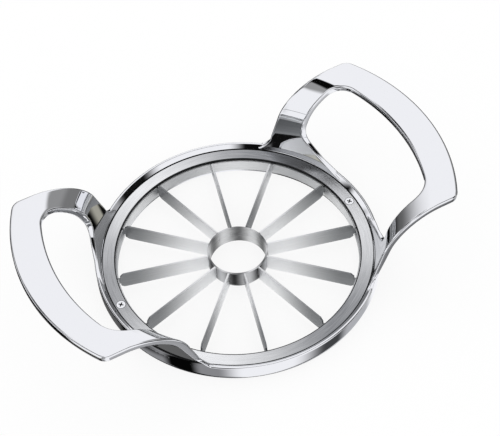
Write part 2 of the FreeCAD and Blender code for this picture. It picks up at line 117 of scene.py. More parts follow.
class Workpiece:
    """One mesh object that is shaped with Blender's own operators, in millimetres."""

    def __init__(self, name: str) -> None:
        """Take the object that a primitive operator has just added.

        Args:
            name: The name that it and its mesh get.
        """
        self.object = bpy.context.object
        self.object.name = name
        self.object.data.name = name

    @classmethod
    def ring(
        cls, name: str, radius: float, height: float, points: int, filled: bool = False
    ) -> "Workpiece":
        """Add a circle round the vertical axis, ready to be extruded.

        Args:
            name: The object's name.
            radius: The circle's radius.
            height: Its height above the base.
            points: How many vertices it has.
            filled: Whether it is closed with a face.

        Returns:
            The workpiece, in edit mode with all of it selected.
        """
        leave_edit_mode()
        bpy.ops.mesh.primitive_circle_add(
            vertices=points,
            radius=radius * MM,
            fill_type="NGON" if filled else "NOTHING",
            location=(0, 0, height * MM),
        )
        piece = cls(name)
        piece.settle()
        piece.edit("EDGE")
        bpy.ops.mesh.select_all(action="SELECT")
        return piece

    @classmethod
    def block(cls, name: str, low: Sequence[float], high: Sequence[float]) -> "Workpiece":
        """Add a box between two corners, in edit mode with nothing selected.

        Args:
            name: The object's name.
            low: Its lowest corner.
            high: Its highest corner.

        Returns:
            The workpiece.
        """
        leave_edit_mode()
        middle = [(a + b) / 2 * MM for a, b in zip(low, high)]
        bpy.ops.mesh.primitive_cube_add(size=1, location=middle)
        piece = cls(name)
        piece.object.scale = [(b - a) * MM for a, b in zip(low, high)]
        piece.settle()
        piece.edit("VERT")
        bpy.ops.mesh.select_all(action="DESELECT")
        return piece

    def settle(self) -> None:
        """Put the object's place, turn and scale into its mesh."""
        leave_edit_mode()
        self.activate()
        bpy.ops.object.transform_apply(location=True, rotation=True, scale=True)

    def activate(self) -> None:
        """Make this the only selected object."""
        bpy.ops.object.select_all(action="DESELECT")
        self.object.select_set(True)
        bpy.context.view_layer.objects.active = self.object

    def edit(self, mode: str = "VERT") -> None:
        """Enter edit mode with vertices, edges or faces to be selected.

        Args:
            mode: "VERT", "EDGE" or "FACE".
        """
        leave_edit_mode()
        self.activate()
        bpy.ops.object.mode_set(mode="EDIT")
        bpy.ops.mesh.select_mode(type=mode)

    def select_vertices(self, test: Callable[[Vector], bool]) -> None:
        """Select the vertices whose place, in millimetres, passes a test."""
        self.select("VERT", "verts", lambda vertex: test(vertex.co / MM))

    def select_faces(self, test: Callable[[Vector, Vector], bool]) -> None:
        """Select the faces whose centre, in millimetres, and normal pass a test."""
        self.select("FACE", "faces", lambda face: test(face.calc_center_median() / MM, face.normal))

    def select(self, mode: str, parts: str, test: Callable[[object], bool]) -> None:
        """Select the parts of the mesh that pass a test.

        Args:
            mode: "VERT" or "FACE".
            parts: "verts" or "faces", the parts that this mode selects.
            test: Takes one of them.
        """
        bpy.ops.mesh.select_mode(type=mode)
        bpy.ops.mesh.select_all(action="DESELECT")
        shape = bmesh.from_edit_mesh(self.object.data)
        for part in getattr(shape, parts):
            part.select = test(part)
        shape.select_flush_mode()
        bmesh.update_edit_mesh(self.object.data)

    def extrude(self, move: Sequence[float]) -> None:
        """Extrude what is selected and move it."""
        bpy.ops.mesh.extrude_region_move(
            TRANSFORM_OT_translate={"value": [step * MM for step in move]}
        )

    def scale(self, factors: Sequence[float], centre: Sequence[float] = (0.0, 0.0, 0.0)) -> None:
        """Scale what is selected about a point."""
        bpy.ops.transform.resize(value=factors, center_override=[part * MM for part in centre])

    def cut(self, point: Sequence[float], normal: Sequence[float], clear: bool = False) -> None:
        """Cut across the whole mesh with a plane.

        Args:
            point: A point of the plane.
            normal: The plane's normal.
            clear: Whether what lies on the normal's side is taken off and the cut is closed.
        """
        bpy.ops.mesh.select_all(action="SELECT")
        bpy.ops.mesh.bisect(
            plane_co=[part * MM for part in point],
            plane_no=normal,
            clear_outer=clear,
            use_fill=clear,
        )

    def turn_section(self, section: Sequence[tuple[float, float]], closed: bool = True) -> None:
        """Draw a ring up along a section, loop after loop, by extruding and scaling it.

        Args:
            section: Radius and height of each corner. The ring stands at the first one.
            closed: Whether the last loop is bridged to the first. If not, it gets a face.
        """
        for (radius, height), (after_radius, after_height) in zip(section, section[1:]):
            self.extrude((0, 0, after_height - height))
            ratio = after_radius / radius
            self.scale((ratio, ratio, 1))
        if not closed:
            bpy.ops.mesh.edge_face_add()
            return
        bpy.ops.mesh.select_all(action="DESELECT")
        bpy.ops.mesh.select_mode(type="EDGE")
        bpy.ops.mesh.select_non_manifold()
        bpy.ops.mesh.bridge_edge_loops()

    def tidy(self) -> None:
        """Merge doubles and point every face outwards."""
        self.edit("VERT")
        bpy.ops.mesh.select_all(action="SELECT")
        bpy.ops.mesh.remove_doubles(threshold=MERGE)
        bpy.ops.mesh.normals_make_consistent(inside=False)
        leave_edit_mode()

    def take_away(self, cutter: "Workpiece") -> None:
        """Cut the shape of another workpiece out of this one, and remove that workpiece."""
        self.modify("BOOLEAN", operation="DIFFERENCE", solver="EXACT", object=cutter.object)
        cutter.remove()

    def modify(self, kind: str, **settings: object) -> None:
        """Add a modifier and apply it.

        Args:
            kind: The modifier's type.
            **settings: Its properties.
        """
        leave_edit_mode()
        self.activate()
        bpy.ops.object.modifier_add(type=kind)
        modifier = self.object.modifiers[-1]
        for name, value in settings.items():
            setattr(modifier, name, value)
        bpy.ops.object.modifier_apply(modifier=modifier.name)

    def round_edges(self, width: float, segments: int = 2, angle: float = 30.0) -> None:
        """Bevel the sharp edges.

        Args:
            width: Width of the bevel.
            segments: Steps of its round.
            angle: Edges that turn by more than this, in degrees, are bevelled.
        """
        self.modify(
            "BEVEL",
            width=width * MM,
            segments=segments,
            limit_method="ANGLE",
            angle_limit=math.radians(angle),
            use_clamp_overlap=True,
        )

    def smooth(self, angle: float = 35.0) -> None:
        """Shade smooth up to an angle in degrees, with normals that follow the larger faces.

        Args:
            angle: Edges that turn by more than this stay sharp.
        """
        leave_edit_mode()
        self.activate()
        bpy.ops.object.shade_smooth_by_angle(angle=math.radians(angle))
        self.modify("WEIGHTED_NORMAL", keep_sharp=True)

    def join(self, others: Iterable["Workpiece"]) -> None:
        """Join other workpieces into this one.

        Args:
            others: The workpieces that it takes in.
        """
        leave_edit_mode()
        self.activate()
        for other in others:
            other.object.select_set(True)
        bpy.ops.object.join()

    def copy_turned(self, name: str, angle: float) -> "Workpiece":
        """Copy the piece with its own mesh, turned about the vertical axis.

        Args:
            name: The copy's name.
            angle: The turn in degrees.

        Returns:
            The copy, with the turn in its mesh.
        """
        leave_edit_mode()
        self.activate()
        bpy.ops.object.duplicate(linked=False)
        piece = Workpiece(name)
        piece.object.rotation_euler = (0, 0, math.radians(angle))
        piece.settle()
        return piece

    def remove(self) -> None:
        """Delete the object and its mesh."""
        mesh = self.object.data
        bpy.data.objects.remove(self.object)
        bpy.data.meshes.remove(mesh)

    def dress(self, material: bpy.types.Material, slot: Slot, *nodes: str) -> None:
        """Give the piece its material, its body and the nodes that it stands for.

        Args:
            material: Its only material.
            slot: The record's slot that this finish belongs to; not used.
            *nodes: The CAD nodes that it replaces.
        """
        leave_edit_mode()
        self.object.data.materials.clear()
        self.object.data.materials.append(material)
        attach(self.object, BODY)
        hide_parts(*nodes)
        faces = len(self.object.data.polygons)
        LOG.info("%s stands for %s, %d faces", self.object.name, ", ".join(nodes), faces)

    def finish_faces(self, material: bpy.types.Material, test: Callable[[Vector, Vector], bool]) -> None:
        """Give the faces that pass a test another material.

        Args:
            material: The material.
            test: Takes the centre of a face, in millimetres, and its normal.
        """
        self.object.data.materials.append(material)
        self.edit("FACE")
        self.select_faces(test)
        self.object.active_material_index = len(self.object.material_slots) - 1
        bpy.ops.object.material_slot_assign()
        leave_edit_mode()


def leave_edit_mode() -> None:
    """Go back to object mode, if anything is being edited."""
    if bpy.context.mode != "OBJECT":
        bpy.ops.object.mode_set(mode="OBJECT")


def arc(
    centre: Sequence[float], radius: float, start: float, end: float, steps: int
) -> list[tuple[float, float]]:
    """Return the points of an arc in a section.

    Args:
        centre: Radius and height of its centre.
        radius: Its radius.
        start: Angle of its first point in degrees, from straight outwards.
        end: Angle of its last point.
        steps: How many straight steps it is drawn in.

    Returns:
        Its points, both ends among them.
    """
    angles = (math.radians(start + (end - start) * step / steps) for step in range(steps + 1))
    return [
        (centre[0] + radius * math.cos(angle), centre[1] + radius * math.sin(angle))
        for angle in angles
    ]


def shares(steps: int) -> list[float]:
    """Return how far along a run each of its steps ends, from the first step to 1."""
    return [step / steps for step in range(1, steps + 1)]


# ---------------------------------------------------------------- the cast frame


@dataclass(frozen=True)
class FaceLine:
    """One broad face of an arm and handle, seen as a line of radius and height: up from the root
    inside the rim, leaning out, over the shoulder and out level."""

    root: tuple[tuple[float, float], ...]
    lean_end: tuple[float, float]
    bend_centre: tuple[float, float]
    bend_radius: float

    def corners(self) -> list[tuple[float, float]]:
        """Return the corners below the bend."""
        return [*self.root, self.lean_end]

    def bend_start(self) -> float:
        """Return the angle, from straight inwards, at which the bend starts."""
        up = self.lean_end[1] - self.bend_centre[1]
        return math.atan2(up, self.bend_centre[0] - self.lean_end[0])

    def at_height(self, height: float) -> float:
        """Return how far along the line a height is reached.

        Args:
            height: The height.

        Returns:
            The length along the line.
        """
        walked = 0.0
        corners = self.corners()
        for (radius, low), (after_radius, high) in zip(corners, corners[1:]):
            length = math.hypot(after_radius - radius, high - low)
            if height <= high:
                return walked + length * (height - low) / (high - low)
            walked += length
        angle = math.asin((height - self.bend_centre[1]) / self.bend_radius)
        return walked + self.bend_radius * (angle - self.bend_start())

    def lean_length(self) -> float:
        """Return the length of the line up to the bend."""
        corners = self.corners()
        return sum(math.dist(a, b) for a, b in zip(corners, corners[1:]))

    def at_radius(self, radius: float) -> float:
        """Return how far along the line a radius beyond the start of the bend is reached.

        Args:
            radius: The radius.

        Returns:
            The length along the line.
        """
        level = self.lean_length() + self.bend_radius * (math.pi / 2 - self.bend_start())
        if radius >= self.bend_centre[0]:
            return level + radius - self.bend_centre[0]
        angle = math.acos((self.bend_centre[0] - radius) / self.bend_radius)
        return self.lean_length() + self.bend_radius * (angle - self.bend_start())

    def point(self, along: float) -> tuple[float, float, float]:
        """Return radius, height and direction (an angle from straight outwards) along the line.

        Args:
            along: The length along the line.

        Returns:
            The three values there.
        """
        walked = 0.0
        corners = self.corners()
        for (radius, low), (after_radius, high) in zip(corners, corners[1:]):
            length = math.hypot(after_radius - radius, high - low)
            if along <= walked + length:
                share = (along - walked) / length
                heading = math.atan2(high - low, after_radius - radius)
                return radius + (after_radius - radius) * share, low + (high - low) * share, heading
            walked += length
        angle = self.bend_start() + (along - walked) / self.bend_radius
        if angle <= math.pi / 2:
            return (
                self.bend_centre[0] - self.bend_radius * math.cos(angle),
                self.bend_centre[1] + self.bend_radius * math.sin(angle),
                math.pi / 2 - angle,
            )
        beyond = along - walked - self.bend_radius * (math.pi / 2 - self.bend_start())
        return self.bend_centre[0] + beyond, self.bend_centre[1] + self.bend_radius, 0.0


@dataclass(frozen=True)
class EdgePoint:
    """A point of one edge of a handle: its place, and the normals of the two faces that meet there."""

    place: Vector
    face_normal: Vector
    wall_normal: Vector


@dataclass(frozen=True)
class Handle:
    """A looped handle with its two arms, as one closed strip of quads.

    The strip follows a turned face that leans, bends and widens all at once, and its mirror finish
    shows every flat spot. A grid is wrapped round it section by section, because extruding, bending
    and bevelling was expected to leave slivers in it.
    """

    upper: FaceLine = FaceLine(
        root=((58.2, 6.0), (58.2, 8.0), (57.7, 8.3)),
        lean_end=(62.1198, 26.0223),
        bend_centre=(83.4663, 20.7),
        bend_radius=22.0,
    )
    lower: FaceLine = FaceLine(
        root=((59.8, 6.0), (59.8, 8.0), (60.3, 8.5), (60.3, 12.0)),
        lean_end=(65.1132, 27.0092),
        bend_centre=(83.4663, 20.7),
        bend_radius=19.4,
    )
    reach: float = 92.0
    bow_radius: float = 82.0
    half_width: float = 44.2
    corner_radius: float = 5.0
    finger_reach: float = 78.2
    finger_half_width: float = 34.6
    finger_corner_radius: float = 10.0
    flare_radius: float = 8.0
    arch_radius: float = 9.0
    arch_slope: float = 35.0
    arch_half_floor: float = 2.0
    floor: float = 8.0
    root_height: float = 7.5
    edge_radius: float = 1.0
    lower_edge_radius: float = 0.4
    longest_leg: float = 1.2
    across: int = 20
    round_steps: int = 5
    foot_steps: int = 16
    upright_steps: int = 10
    shoulder_steps: int = 16
    side_steps: int = 9
    corner_steps: int = 8
    bow_steps: int = 7
    middle_steps: int = 14

    def line(self, face: Face) -> FaceLine:
        """Return the line of one face."""
        return self.upper if face is Face.UPPER else self.lower

    def flare(self, height: float) -> tuple[float, Vector]:
        """Return half the width over the flared foot at a height, and the normal of its wall.

        Args:
            height: The height.

        Returns:
            The half width and the normal.
        """
        top = self.floor + self.flare_radius
        if height >= top:
            return self.half_width, Vector((0, 1, 0))
        drop = min(top - height, self.flare_radius)
        side = math.sqrt(self.flare_radius**2 - drop**2)
        normal = Vector((0, side / self.flare_radius, drop / self.flare_radius))
        return self.half_width + self.flare_radius - side, normal

    def arch_turns(self) -> tuple[float, float, float]:
        """Return the radius of the long arch, and the heights where it steepens and is upright.

        Returns:
            The radius and the two heights.
        """
        slope = math.radians(self.arch_slope)
        turn_y = self.finger_half_width - self.arch_radius * (1 - math.sin(slope))
        long_radius = (turn_y - self.arch_half_floor) / math.sin(slope)
        turn_z = self.floor + long_radius * (1 - math.cos(slope))
        return long_radius, turn_z, turn_z + self.arch_radius * math.cos(slope)

    def arch(self, height: float) -> tuple[float, Vector]:
        """Return half the width of the arch between the arms at a height, and its wall's normal.

        Args:
            height: The height.

        Returns:
            The half width and the normal.
        """
        long_radius, turn_z, side_z = self.arch_turns()
        if height >= side_z:
            return self.finger_half_width, Vector((0, -1, 0))
        if height >= turn_z:
            drop = side_z - height
            side = math.sqrt(self.arch_radius**2 - drop**2)
            half = self.finger_half_width - self.arch_radius + side
            return half, Vector((0, -side / self.arch_radius, drop / self.arch_radius))
        drop = min(self.floor + long_radius - height, long_radius)
        side = math.sqrt(long_radius**2 - drop**2)
        return self.arch_half_floor + side, Vector((0, -side / long_radius, drop / long_radius))

    def on_height(self, face: Face, half: float, along: float, wall: Vector) -> EdgePoint:
        """Return the edge point at a distance from the middle plane, and a length along the face."""
        radius, _, _ = self.line(face).point(along)
        return self.edge_point(face, math.asin(half / radius), along, wall)

    def on_plan(self, face: Face, x: float, y: float, wall: Vector) -> EdgePoint:
        """Return the edge point above or below a point of the plan."""
        along = self.line(face).at_radius(math.hypot(x, y))
        return self.edge_point(face, math.atan2(y, x), along, wall)

    def edge_point(self, face: Face, turn: float, along: float, wall: Vector) -> EdgePoint:
        """Return an edge point from its place in the turned face.

        Args:
            face: Which broad face it is on.
            turn: Its angle round the vertical axis, from the handle's middle.
            along: Its length along the face's line.
            wall: The normal of the wall beside it.

        Returns:
            The edge point.
        """
        return EdgePoint(*self.face_place(face, turn, along), wall)

    def face_place(self, face: Face, turn: float, along: float) -> tuple[Vector, Vector]:
        """Return the place and outward normal of a point of a turned face.

        Args:
            face: Which broad face it is on.
            turn: Its angle round the vertical axis.
            along: Its length along the face's line.

        Returns:
            The place and the normal.
        """
        radius, height, heading = self.line(face).point(along)
        side = 1 if face is Face.UPPER else -1
        out = -math.sin(heading) * side
        normal = Vector((out * math.cos(turn), out * math.sin(turn), math.cos(heading) * side))
        return Vector((radius * math.cos(turn), radius * math.sin(turn), height)), normal

    def outer_edge(self, face: Face) -> list[EdgePoint]:
        """Return the points along the outside of half a handle, from its foot to its middle.

        Args:
            face: Which broad face the edge bounds.

        Returns:
            The edge's points.
        """
        line = self.line(face)
        points = []
        for height in self.foot_heights():
            half, wall = self.flare(height)
            along = line.at_height(height)
            turn = math.asin(half / line.point(along)[0])
            low_turn = math.asin(half / self.lower.point(self.lower.at_height(height))[0])
            share = min(max((self.floor + self.flare_radius - height) / self.flare_radius, 0.0), 1.0)
            turn += (low_turn - turn) * share
            points.append(self.edge_point(face, turn, along, wall))
        straight = Vector((0, 1, 0))
        for along in self.shoulder_lengths(face):
            points.append(self.on_height(face, self.half_width, along, straight))
        corner_x, corner_y, corner_end = self.corner(self.reach, self.half_width, self.corner_radius)
        finger_end = self.finger_corner()[2]
        first_x = math.sqrt(self.finger_corner_radius_out() ** 2 - self.half_width**2)
        for share in shares(self.side_steps):
            x = first_x + (corner_x - first_x) * share
            points.append(self.on_plan(face, x, self.half_width, straight))
        upright = math.pi / 2
        angles = [upright + (corner_end - upright) * share for share in shares(self.corner_steps)]
        points += self.plan_arc(face, (corner_x, corner_y), self.corner_radius, angles)
        angles = [corner_end + (finger_end - corner_end) * share for share in shares(self.bow_steps)]
        angles += [finger_end * (1 - share) for share in shares(self.middle_steps)]
        return points + self.plan_arc(face, (self.reach - self.bow_radius, 0), self.bow_radius, angles)

    def inner_edge(self, face: Face) -> list[EdgePoint]:
        """Return the points along the finger opening of half a handle, from its foot to its middle.

        Args:
            face: Which broad face the edge bounds.

        Returns:
            The edge's points.
        """
        line = self.line(face)
        points = []
        for height in self.foot_heights():
            half, wall = self.arch(height)
            points.append(self.on_height(face, half, line.at_height(height), wall))
        for along in self.shoulder_lengths(face):
            points.append(self.on_height(face, self.finger_half_width, along, Vector((0, -1, 0))))
        corner_x, corner_y, finger_end = self.finger_corner()
        # as many steps as the outside has over its straight side, its corner and the bow beside them
        steps = self.side_steps + self.corner_steps + self.bow_steps
        angles = [math.pi / 2 + (finger_end - math.pi / 2) * share for share in shares(steps)]
        points += self.plan_arc(face, (corner_x, corner_y), self.finger_corner_radius, angles, -1)
        angles = [finger_end * (1 - share) for share in shares(self.middle_steps)]
        bow = (self.finger_reach - self.bow_radius, 0)
        return points + self.plan_arc(face, bow, self.bow_radius, angles, -1)

    def plan_arc(
        self, face: Face, centre: Sequence[float], radius: float, angles: Sequence[float], side: int = 1
    ) -> list[EdgePoint]:
        """Return edge points on an arc of the plan.

        Args:
            face: Which broad face they are on.
            centre: The arc's centre.
            radius: Its radius.
            angles: The angles of the points.
            side: 1 where the wall beside it looks away from the centre, -1 where it looks there.

        Returns:
            The points, in the order of the angles.
        """
        outs = [Vector((math.cos(angle), math.sin(angle), 0)) for angle in angles]
        return [
            self.on_plan(face, centre[0] + radius * out.x, centre[1] + radius * out.y, out * side)
            for out in outs
        ]

    def corner(self, reach: float, half_width: float, radius: float) -> tuple[float, float, float]:
        """Return where a corner of the plan has its centre, and where it runs into the bow.

        Args:
            reach: How far out the bow comes.
            half_width: Half the width between the straight sides.
            radius: The corner's radius.

        Returns:
            The centre, and the angle at which the bow takes over.
        """
        bow = reach - self.bow_radius
        corner_y = half_width - radius
        corner_x = bow + math.sqrt((self.bow_radius - radius) ** 2 - corner_y**2)
        return corner_x, corner_y, math.atan2(corner_y, corner_x - bow)

    def finger_corner(self) -> tuple[float, float, float]:
        """Return the centre of a finger corner, and the angle at which it runs into the bow."""
        return self.corner(self.finger_reach, self.finger_half_width, self.finger_corner_radius)

    def finger_corner_radius_out(self) -> float:
        """Return the radius from the axis at which a finger corner starts."""
        return math.hypot(self.finger_corner()[0], self.finger_half_width)

    def foot_heights(self) -> list[float]:
        """Return the heights of the sections from the root up to where the arch stands upright.

        Returns:
            The heights, going up.
        """
        flare_top = self.floor + self.flare_radius
        side = self.arch_turns()[2]
        heights = [self.root_height]
        heights += [self.floor + self.flare_radius * share**2 for share in shares(self.foot_steps)]
        return heights + [
            flare_top + (side - flare_top) * share for share in shares(self.upright_steps)
        ]

    def shoulder_lengths(self, face: Face) -> list[float]:
        """Return the lengths along a face of the sections from there to the finger corner.

        Args:
            face: Which broad face is meant.

        Returns:
            The lengths, going out.
        """
        line = self.line(face)
        start = line.at_height(self.arch_turns()[2])
        end = line.at_radius(self.finger_corner_radius_out())
        return [start + (end - start) * share for share in shares(self.shoulder_steps)]

    def rounded(self, points: list[EdgePoint], face: Face, edge_radius: float) -> list[list[Vector]]:
        """Round one edge, section by section.

        Args:
            points: The edge's points.
            face: The broad face that it bounds.
            edge_radius: The radius of the round.

        Returns:
            For each section the points of the round, from the face to the wall.
        """
        rounds = []
        for number, point in enumerate(points):
            before = points[max(number - 1, 0)].place
            if number + 1 < len(points):
                after = points[number + 1].place
            else:
                after = Vector((before.x, -before.y, before.z))
            run = (after - before).normalized()
            inwards = point.face_normal.cross(run).normalized()
            if inwards.dot(point.wall_normal) > 0:
                inwards = -inwards
            down = point.wall_normal.cross(run).normalized()
            if down.dot(point.face_normal) > 0:
                down = -down
            opening = inwards.angle(down)
            leg = min(edge_radius / math.tan(opening / 2), self.longest_leg)
            weight = math.sin(opening / 2)
            turn, along = self.face_coordinates(face, point.place + inwards * leg)
            start, _ = self.face_place(face, turn, along)
            end = point.place + down * leg
            steps = []
            for step in range(self.round_steps + 1):
                share = step / self.round_steps
                parts = ((1 - share) ** 2, 2 * share * (1 - share) * weight, share**2)
                total = sum(parts)
                steps.append((start * parts[0] + point.place * parts[1] + end * parts[2]) / total)
            rounds.append(steps)
        return rounds

    def face_coordinates(self, face: Face, place: Vector) -> tuple[float, float]:
        """Return the turn and the length along the face's line of a place on or beside the face.

        Args:
            face: Which broad face is meant.
            place: The place.

        Returns:
            The turn and the length.
        """
        line = self.line(face)
        radius = math.hypot(place.x, place.y)
        turn = math.atan2(place.y, place.x)
        if place.z > line.lean_end[1] and radius > line.lean_end[0]:
            across = line.bend_centre[0] - radius
            up = place.z - line.bend_centre[1]
            if across <= 0:
                return turn, line.at_radius(radius)
            angle = math.atan2(up, across)
            return turn, line.lean_length() + line.bend_radius * (angle - line.bend_start())
        return turn, line.at_height(place.z)

    def face_row(self, face: Face, start: Vector, end: Vector) -> list[Vector]:
        """Return the points across a face between two rounds.

        Args:
            face: Which broad face is crossed.
            start: Where it starts.
            end: Where it ends.

        Returns:
            The points, both ends among them.
        """
        turn, along = self.face_coordinates(face, start)
        end_turn, end_along = self.face_coordinates(face, end)
        return [
            self.face_place(
                face, turn + (end_turn - turn) * share, along + (end_along - along) * share
            )[0]
            for share in (0.0, *shares(self.across))
        ]

    def sections(self) -> list[list[Vector]]:
        """Return the sections of the whole strip, from one foot over the grip to the other.

        Returns:
            The points of each section, once round.
        """
        rounds = []
        for face, edge_radius in ((Face.UPPER, self.edge_radius), (Face.LOWER, self.lower_edge_radius)):
            for edge in (self.outer_edge(face), self.inner_edge(face)):
                rounds.append(self.rounded(edge, face, edge_radius))
        half = []
        for upper_outer, upper_inner, lower_outer, lower_inner in zip(*rounds):
            section = self.face_row(Face.UPPER, upper_inner[0], upper_outer[0])
            section += upper_outer[1:]
            section += [upper_outer[-1].lerp(lower_outer[-1], 0.5)]
            section += lower_outer[::-1]
            section += self.face_row(Face.LOWER, lower_outer[0], lower_inner[0])[1:]
            section += lower_inner[1:]
            section += [lower_inner[-1].lerp(upper_inner[-1], 0.5)]
            section += upper_inner[::-1]
            half.append(section)
        other = half[-2::-1]
        return half + [[Vector((at.x, -at.y, at.z)) for at in section] for section in other]

    def build(self, name: str) -> Workpiece:
        """Wrap a grid round the sections and close its two ends.

        Args:
            name: The object's name.

        Returns:
            The handle on the +X side.
        """
        sections = self.sections()
        rows, columns = len(sections), len(sections[0])
        leave_edit_mode()
        bpy.ops.mesh.primitive_grid_add(x_subdivisions=columns - 1, y_subdivisions=rows - 1, size=2)
        piece = Workpiece(name)
        mesh = piece.object.data
        for vertex in mesh.vertices:
            column = round((vertex.co.x + 1) / 2 * (columns - 1))
            row = round((vertex.co.y + 1) / 2 * (rows - 1))
            vertex.co = sections[row][column] * MM
        piece.edit("VERT")
        bpy.ops.mesh.select_all(action="SELECT")
        bpy.ops.mesh.remove_doubles(threshold=MERGE / 2)
        bpy.ops.mesh.select_all(action="DESELECT")
        bpy.ops.mesh.select_non_manifold()
        bpy.ops.mesh.fill_holes(sides=0)
        piece.tidy()
        return piece


@dataclass
class CastFrame:
    """The one-piece casting: a rim with a rounded crest, and a looped handle on each side."""

    radius: float = 60.3
    inner_radius: float = 57.7
    crest_height: float = 10.0
    crest_radius: float = 0.7
    crest_base: float = 8.3
    foot_radius: float = 4.5
    seat_height: float = 6.8
    bore_radius: float = 52.65
    lip_radius: float = 51.9
    lip_height: float = 1.3
    points: int = 256
    handle: Handle = field(default_factory=Handle)

    def rim_section(self) -> list[tuple[float, float]]:
        """Return the section of the rim, from under the lip out, up and back in.

        Returns:
            Radius and height of each corner.
        """
        crest = (self.radius - self.crest_radius, self.crest_height - self.crest_radius)
        across = crest[0] - self.inner_radius
        up = crest[1] - self.crest_base
        reach = math.hypot(across, up)
        touch = math.degrees(math.atan2(-up, -across))
        touch += 360 - math.degrees(math.acos(self.crest_radius / reach))
        section = [(self.lip_radius, 0.0)]
        section += arc((self.radius - self.foot_radius, self.foot_radius), self.foot_radius, -90, 0, 12)
        section += arc(crest, self.crest_radius, 0, touch, 8)
        section += [
            (self.inner_radius, self.crest_base),
            (self.inner_radius, self.seat_height),
            (self.bore_radius, self.seat_height),
            (self.bore_radius, self.lip_height),
            (self.lip_radius, self.lip_height),
        ]
        return section

    def is_flank(self, centre: Vector, normal: Vector) -> bool:
        """Return whether a face is on the straight flank of a handle."""
        outside = abs(normal.y) > 0.95 and abs(centre.y) > self.handle.half_width - 0.1
        return outside and centre.z > self.crest_height + 4

    def build(self) -> Workpiece:
        """Turn the rim, add both handles and join them.

        Returns:
            The casting.
        """
        section = self.rim_section()
        rim = Workpiece.ring("cast_frame", section[0][0], section[0][1], self.points)
        rim.turn_section(section)
        rim.tidy()
        right = self.handle.build("right_handle")
        left = right.copy_turned("left_handle", 180)
        rim.join([right, left])
        rim.smooth(40)
        return rim


# ---------------------------------------------------------------- ring, screws and blade set


@dataclass
class RetainingRing:
    """The flat satin ring over the blade band, with two countersunk holes."""

    inner_radius: float = 52.0
    outer_radius: float = 57.55
    base: float = 6.8
    top: float = 8.0
    hole_radius: float = 1.1
    mouth_radius: float = 2.05
    hole_place: float = 54.8
    edge: float = 0.15
    # width of the strip of the top beside each edge that takes the painted shadow
    rim: float = 0.4
    points: int = 256

    def is_edge(self, centre: Vector, normal: Vector) -> bool:
        """Return whether a face is on one of the ring's sheared or drilled edges, or on the strip of the
        top beside a sheared edge: the faces that take the painted shadow.

        Args:
            centre: The face's centre.
            normal: Its normal.

        Returns:
            Whether it is.
        """
        out = math.hypot(centre.x, centre.y)
        if out < self.inner_radius + self.rim - 0.01 or out > self.outer_radius - self.rim + 0.01:
            return True
        hole = math.hypot(abs(centre.x) - self.hole_place, centre.y)
        return abs(normal.z) < 0.97 and hole < self.mouth_radius + 2 * self.edge

    def build(self) -> Workpiece:
        """Turn the ring and sink its two holes.

        Returns:
            The ring.
        """
        ring = Workpiece.ring("satin_ring", self.inner_radius, self.base, self.points)
        ring.turn_section(
            [
                (self.inner_radius, self.base),
                (self.outer_radius, self.base),
                (self.outer_radius, self.top),
                (self.outer_radius - self.rim, self.top),
                (self.inner_radius + self.rim, self.top),
                (self.inner_radius, self.top),
            ]
        )
        ring.tidy()
        for side in (-1, 1):
            ring.take_away(self.countersink(side * self.hole_place))
        ring.round_edges(self.edge)
        ring.smooth(30)
        return ring

    def countersink(self, x: float) -> Workpiece:
        """Return the cutter for one screw hole.

        Args:
            x: The place of the hole on the X axis.

        Returns:
            The cutter.
        """
        depth = self.mouth_radius - self.hole_radius
        cutter = Workpiece.ring("countersink", self.hole_radius, self.base - 1, SMALL_ROUND, filled=True)
        cutter.turn_section(
            [
                (self.hole_radius, self.base - 1),
                (self.hole_radius, self.top - depth),
                (self.mouth_radius, self.top),
                (self.mouth_radius, self.top + 1),
            ],
            closed=False,
        )
        cutter.tidy()
        cutter.object.location = (x * MM, 0, 0)
        cutter.settle()
        return cutter


@dataclass
class Screw:
    """A small countersunk screw with a cross recess."""

    place: float
    head_radius: float = 1.9
    shank_radius: float = 1.0
    head_edge: float = 0.1
    length: float = 5.0
    top: float = 8.0
    recess_width: float = 0.5
    recess_span: float = 2.1
    recess_depth: float = 0.7
    recess_turn: float = 45.0
    edge_round: float = 0.06

    def is_recess(self, centre: Vector, normal: Vector) -> bool:
        """Return whether a face is in the cross recess."""
        inside = math.hypot(centre.x - self.place, centre.y) < self.recess_span / 2 + 0.05
        return inside and self.top - self.recess_depth - 0.1 < centre.z < self.top - 0.01

    def build(self, name: str) -> Workpiece:
        """Turn the screw and cut its recess.

        Args:
            name: The object's name.

        Returns:
            The screw in its hole.
        """
        base = self.top - self.length
        cone = self.head_radius - self.shank_radius
        section = [
            (self.shank_radius / 2, base),
            (self.shank_radius, base + self.shank_radius / 2),
            (self.shank_radius, self.top - self.head_edge - cone),
            (self.head_radius, self.top - self.head_edge),
            (self.head_radius, self.top),
        ]
        screw = Workpiece.ring(name, section[0][0], section[0][1], SMALL_ROUND, filled=True)
        screw.turn_section(section, closed=False)
        screw.tidy()
        for turn in (0, 90):
            half, near = self.recess_span / 2, self.recess_width / 2
            cutter = Workpiece.block(
                "recess", (-half, -near, self.top - self.recess_depth), (half, near, self.top + 1)
            )
            leave_edit_mode()
            cutter.object.rotation_euler = (0, 0, math.radians(turn + self.recess_turn))
            cutter.settle()
            screw.take_away(cutter)
        screw.round_edges(self.edge_round)
        screw.object.location = (self.place * MM, 0, 0)
        screw.settle()
        screw.smooth(30)
        return screw


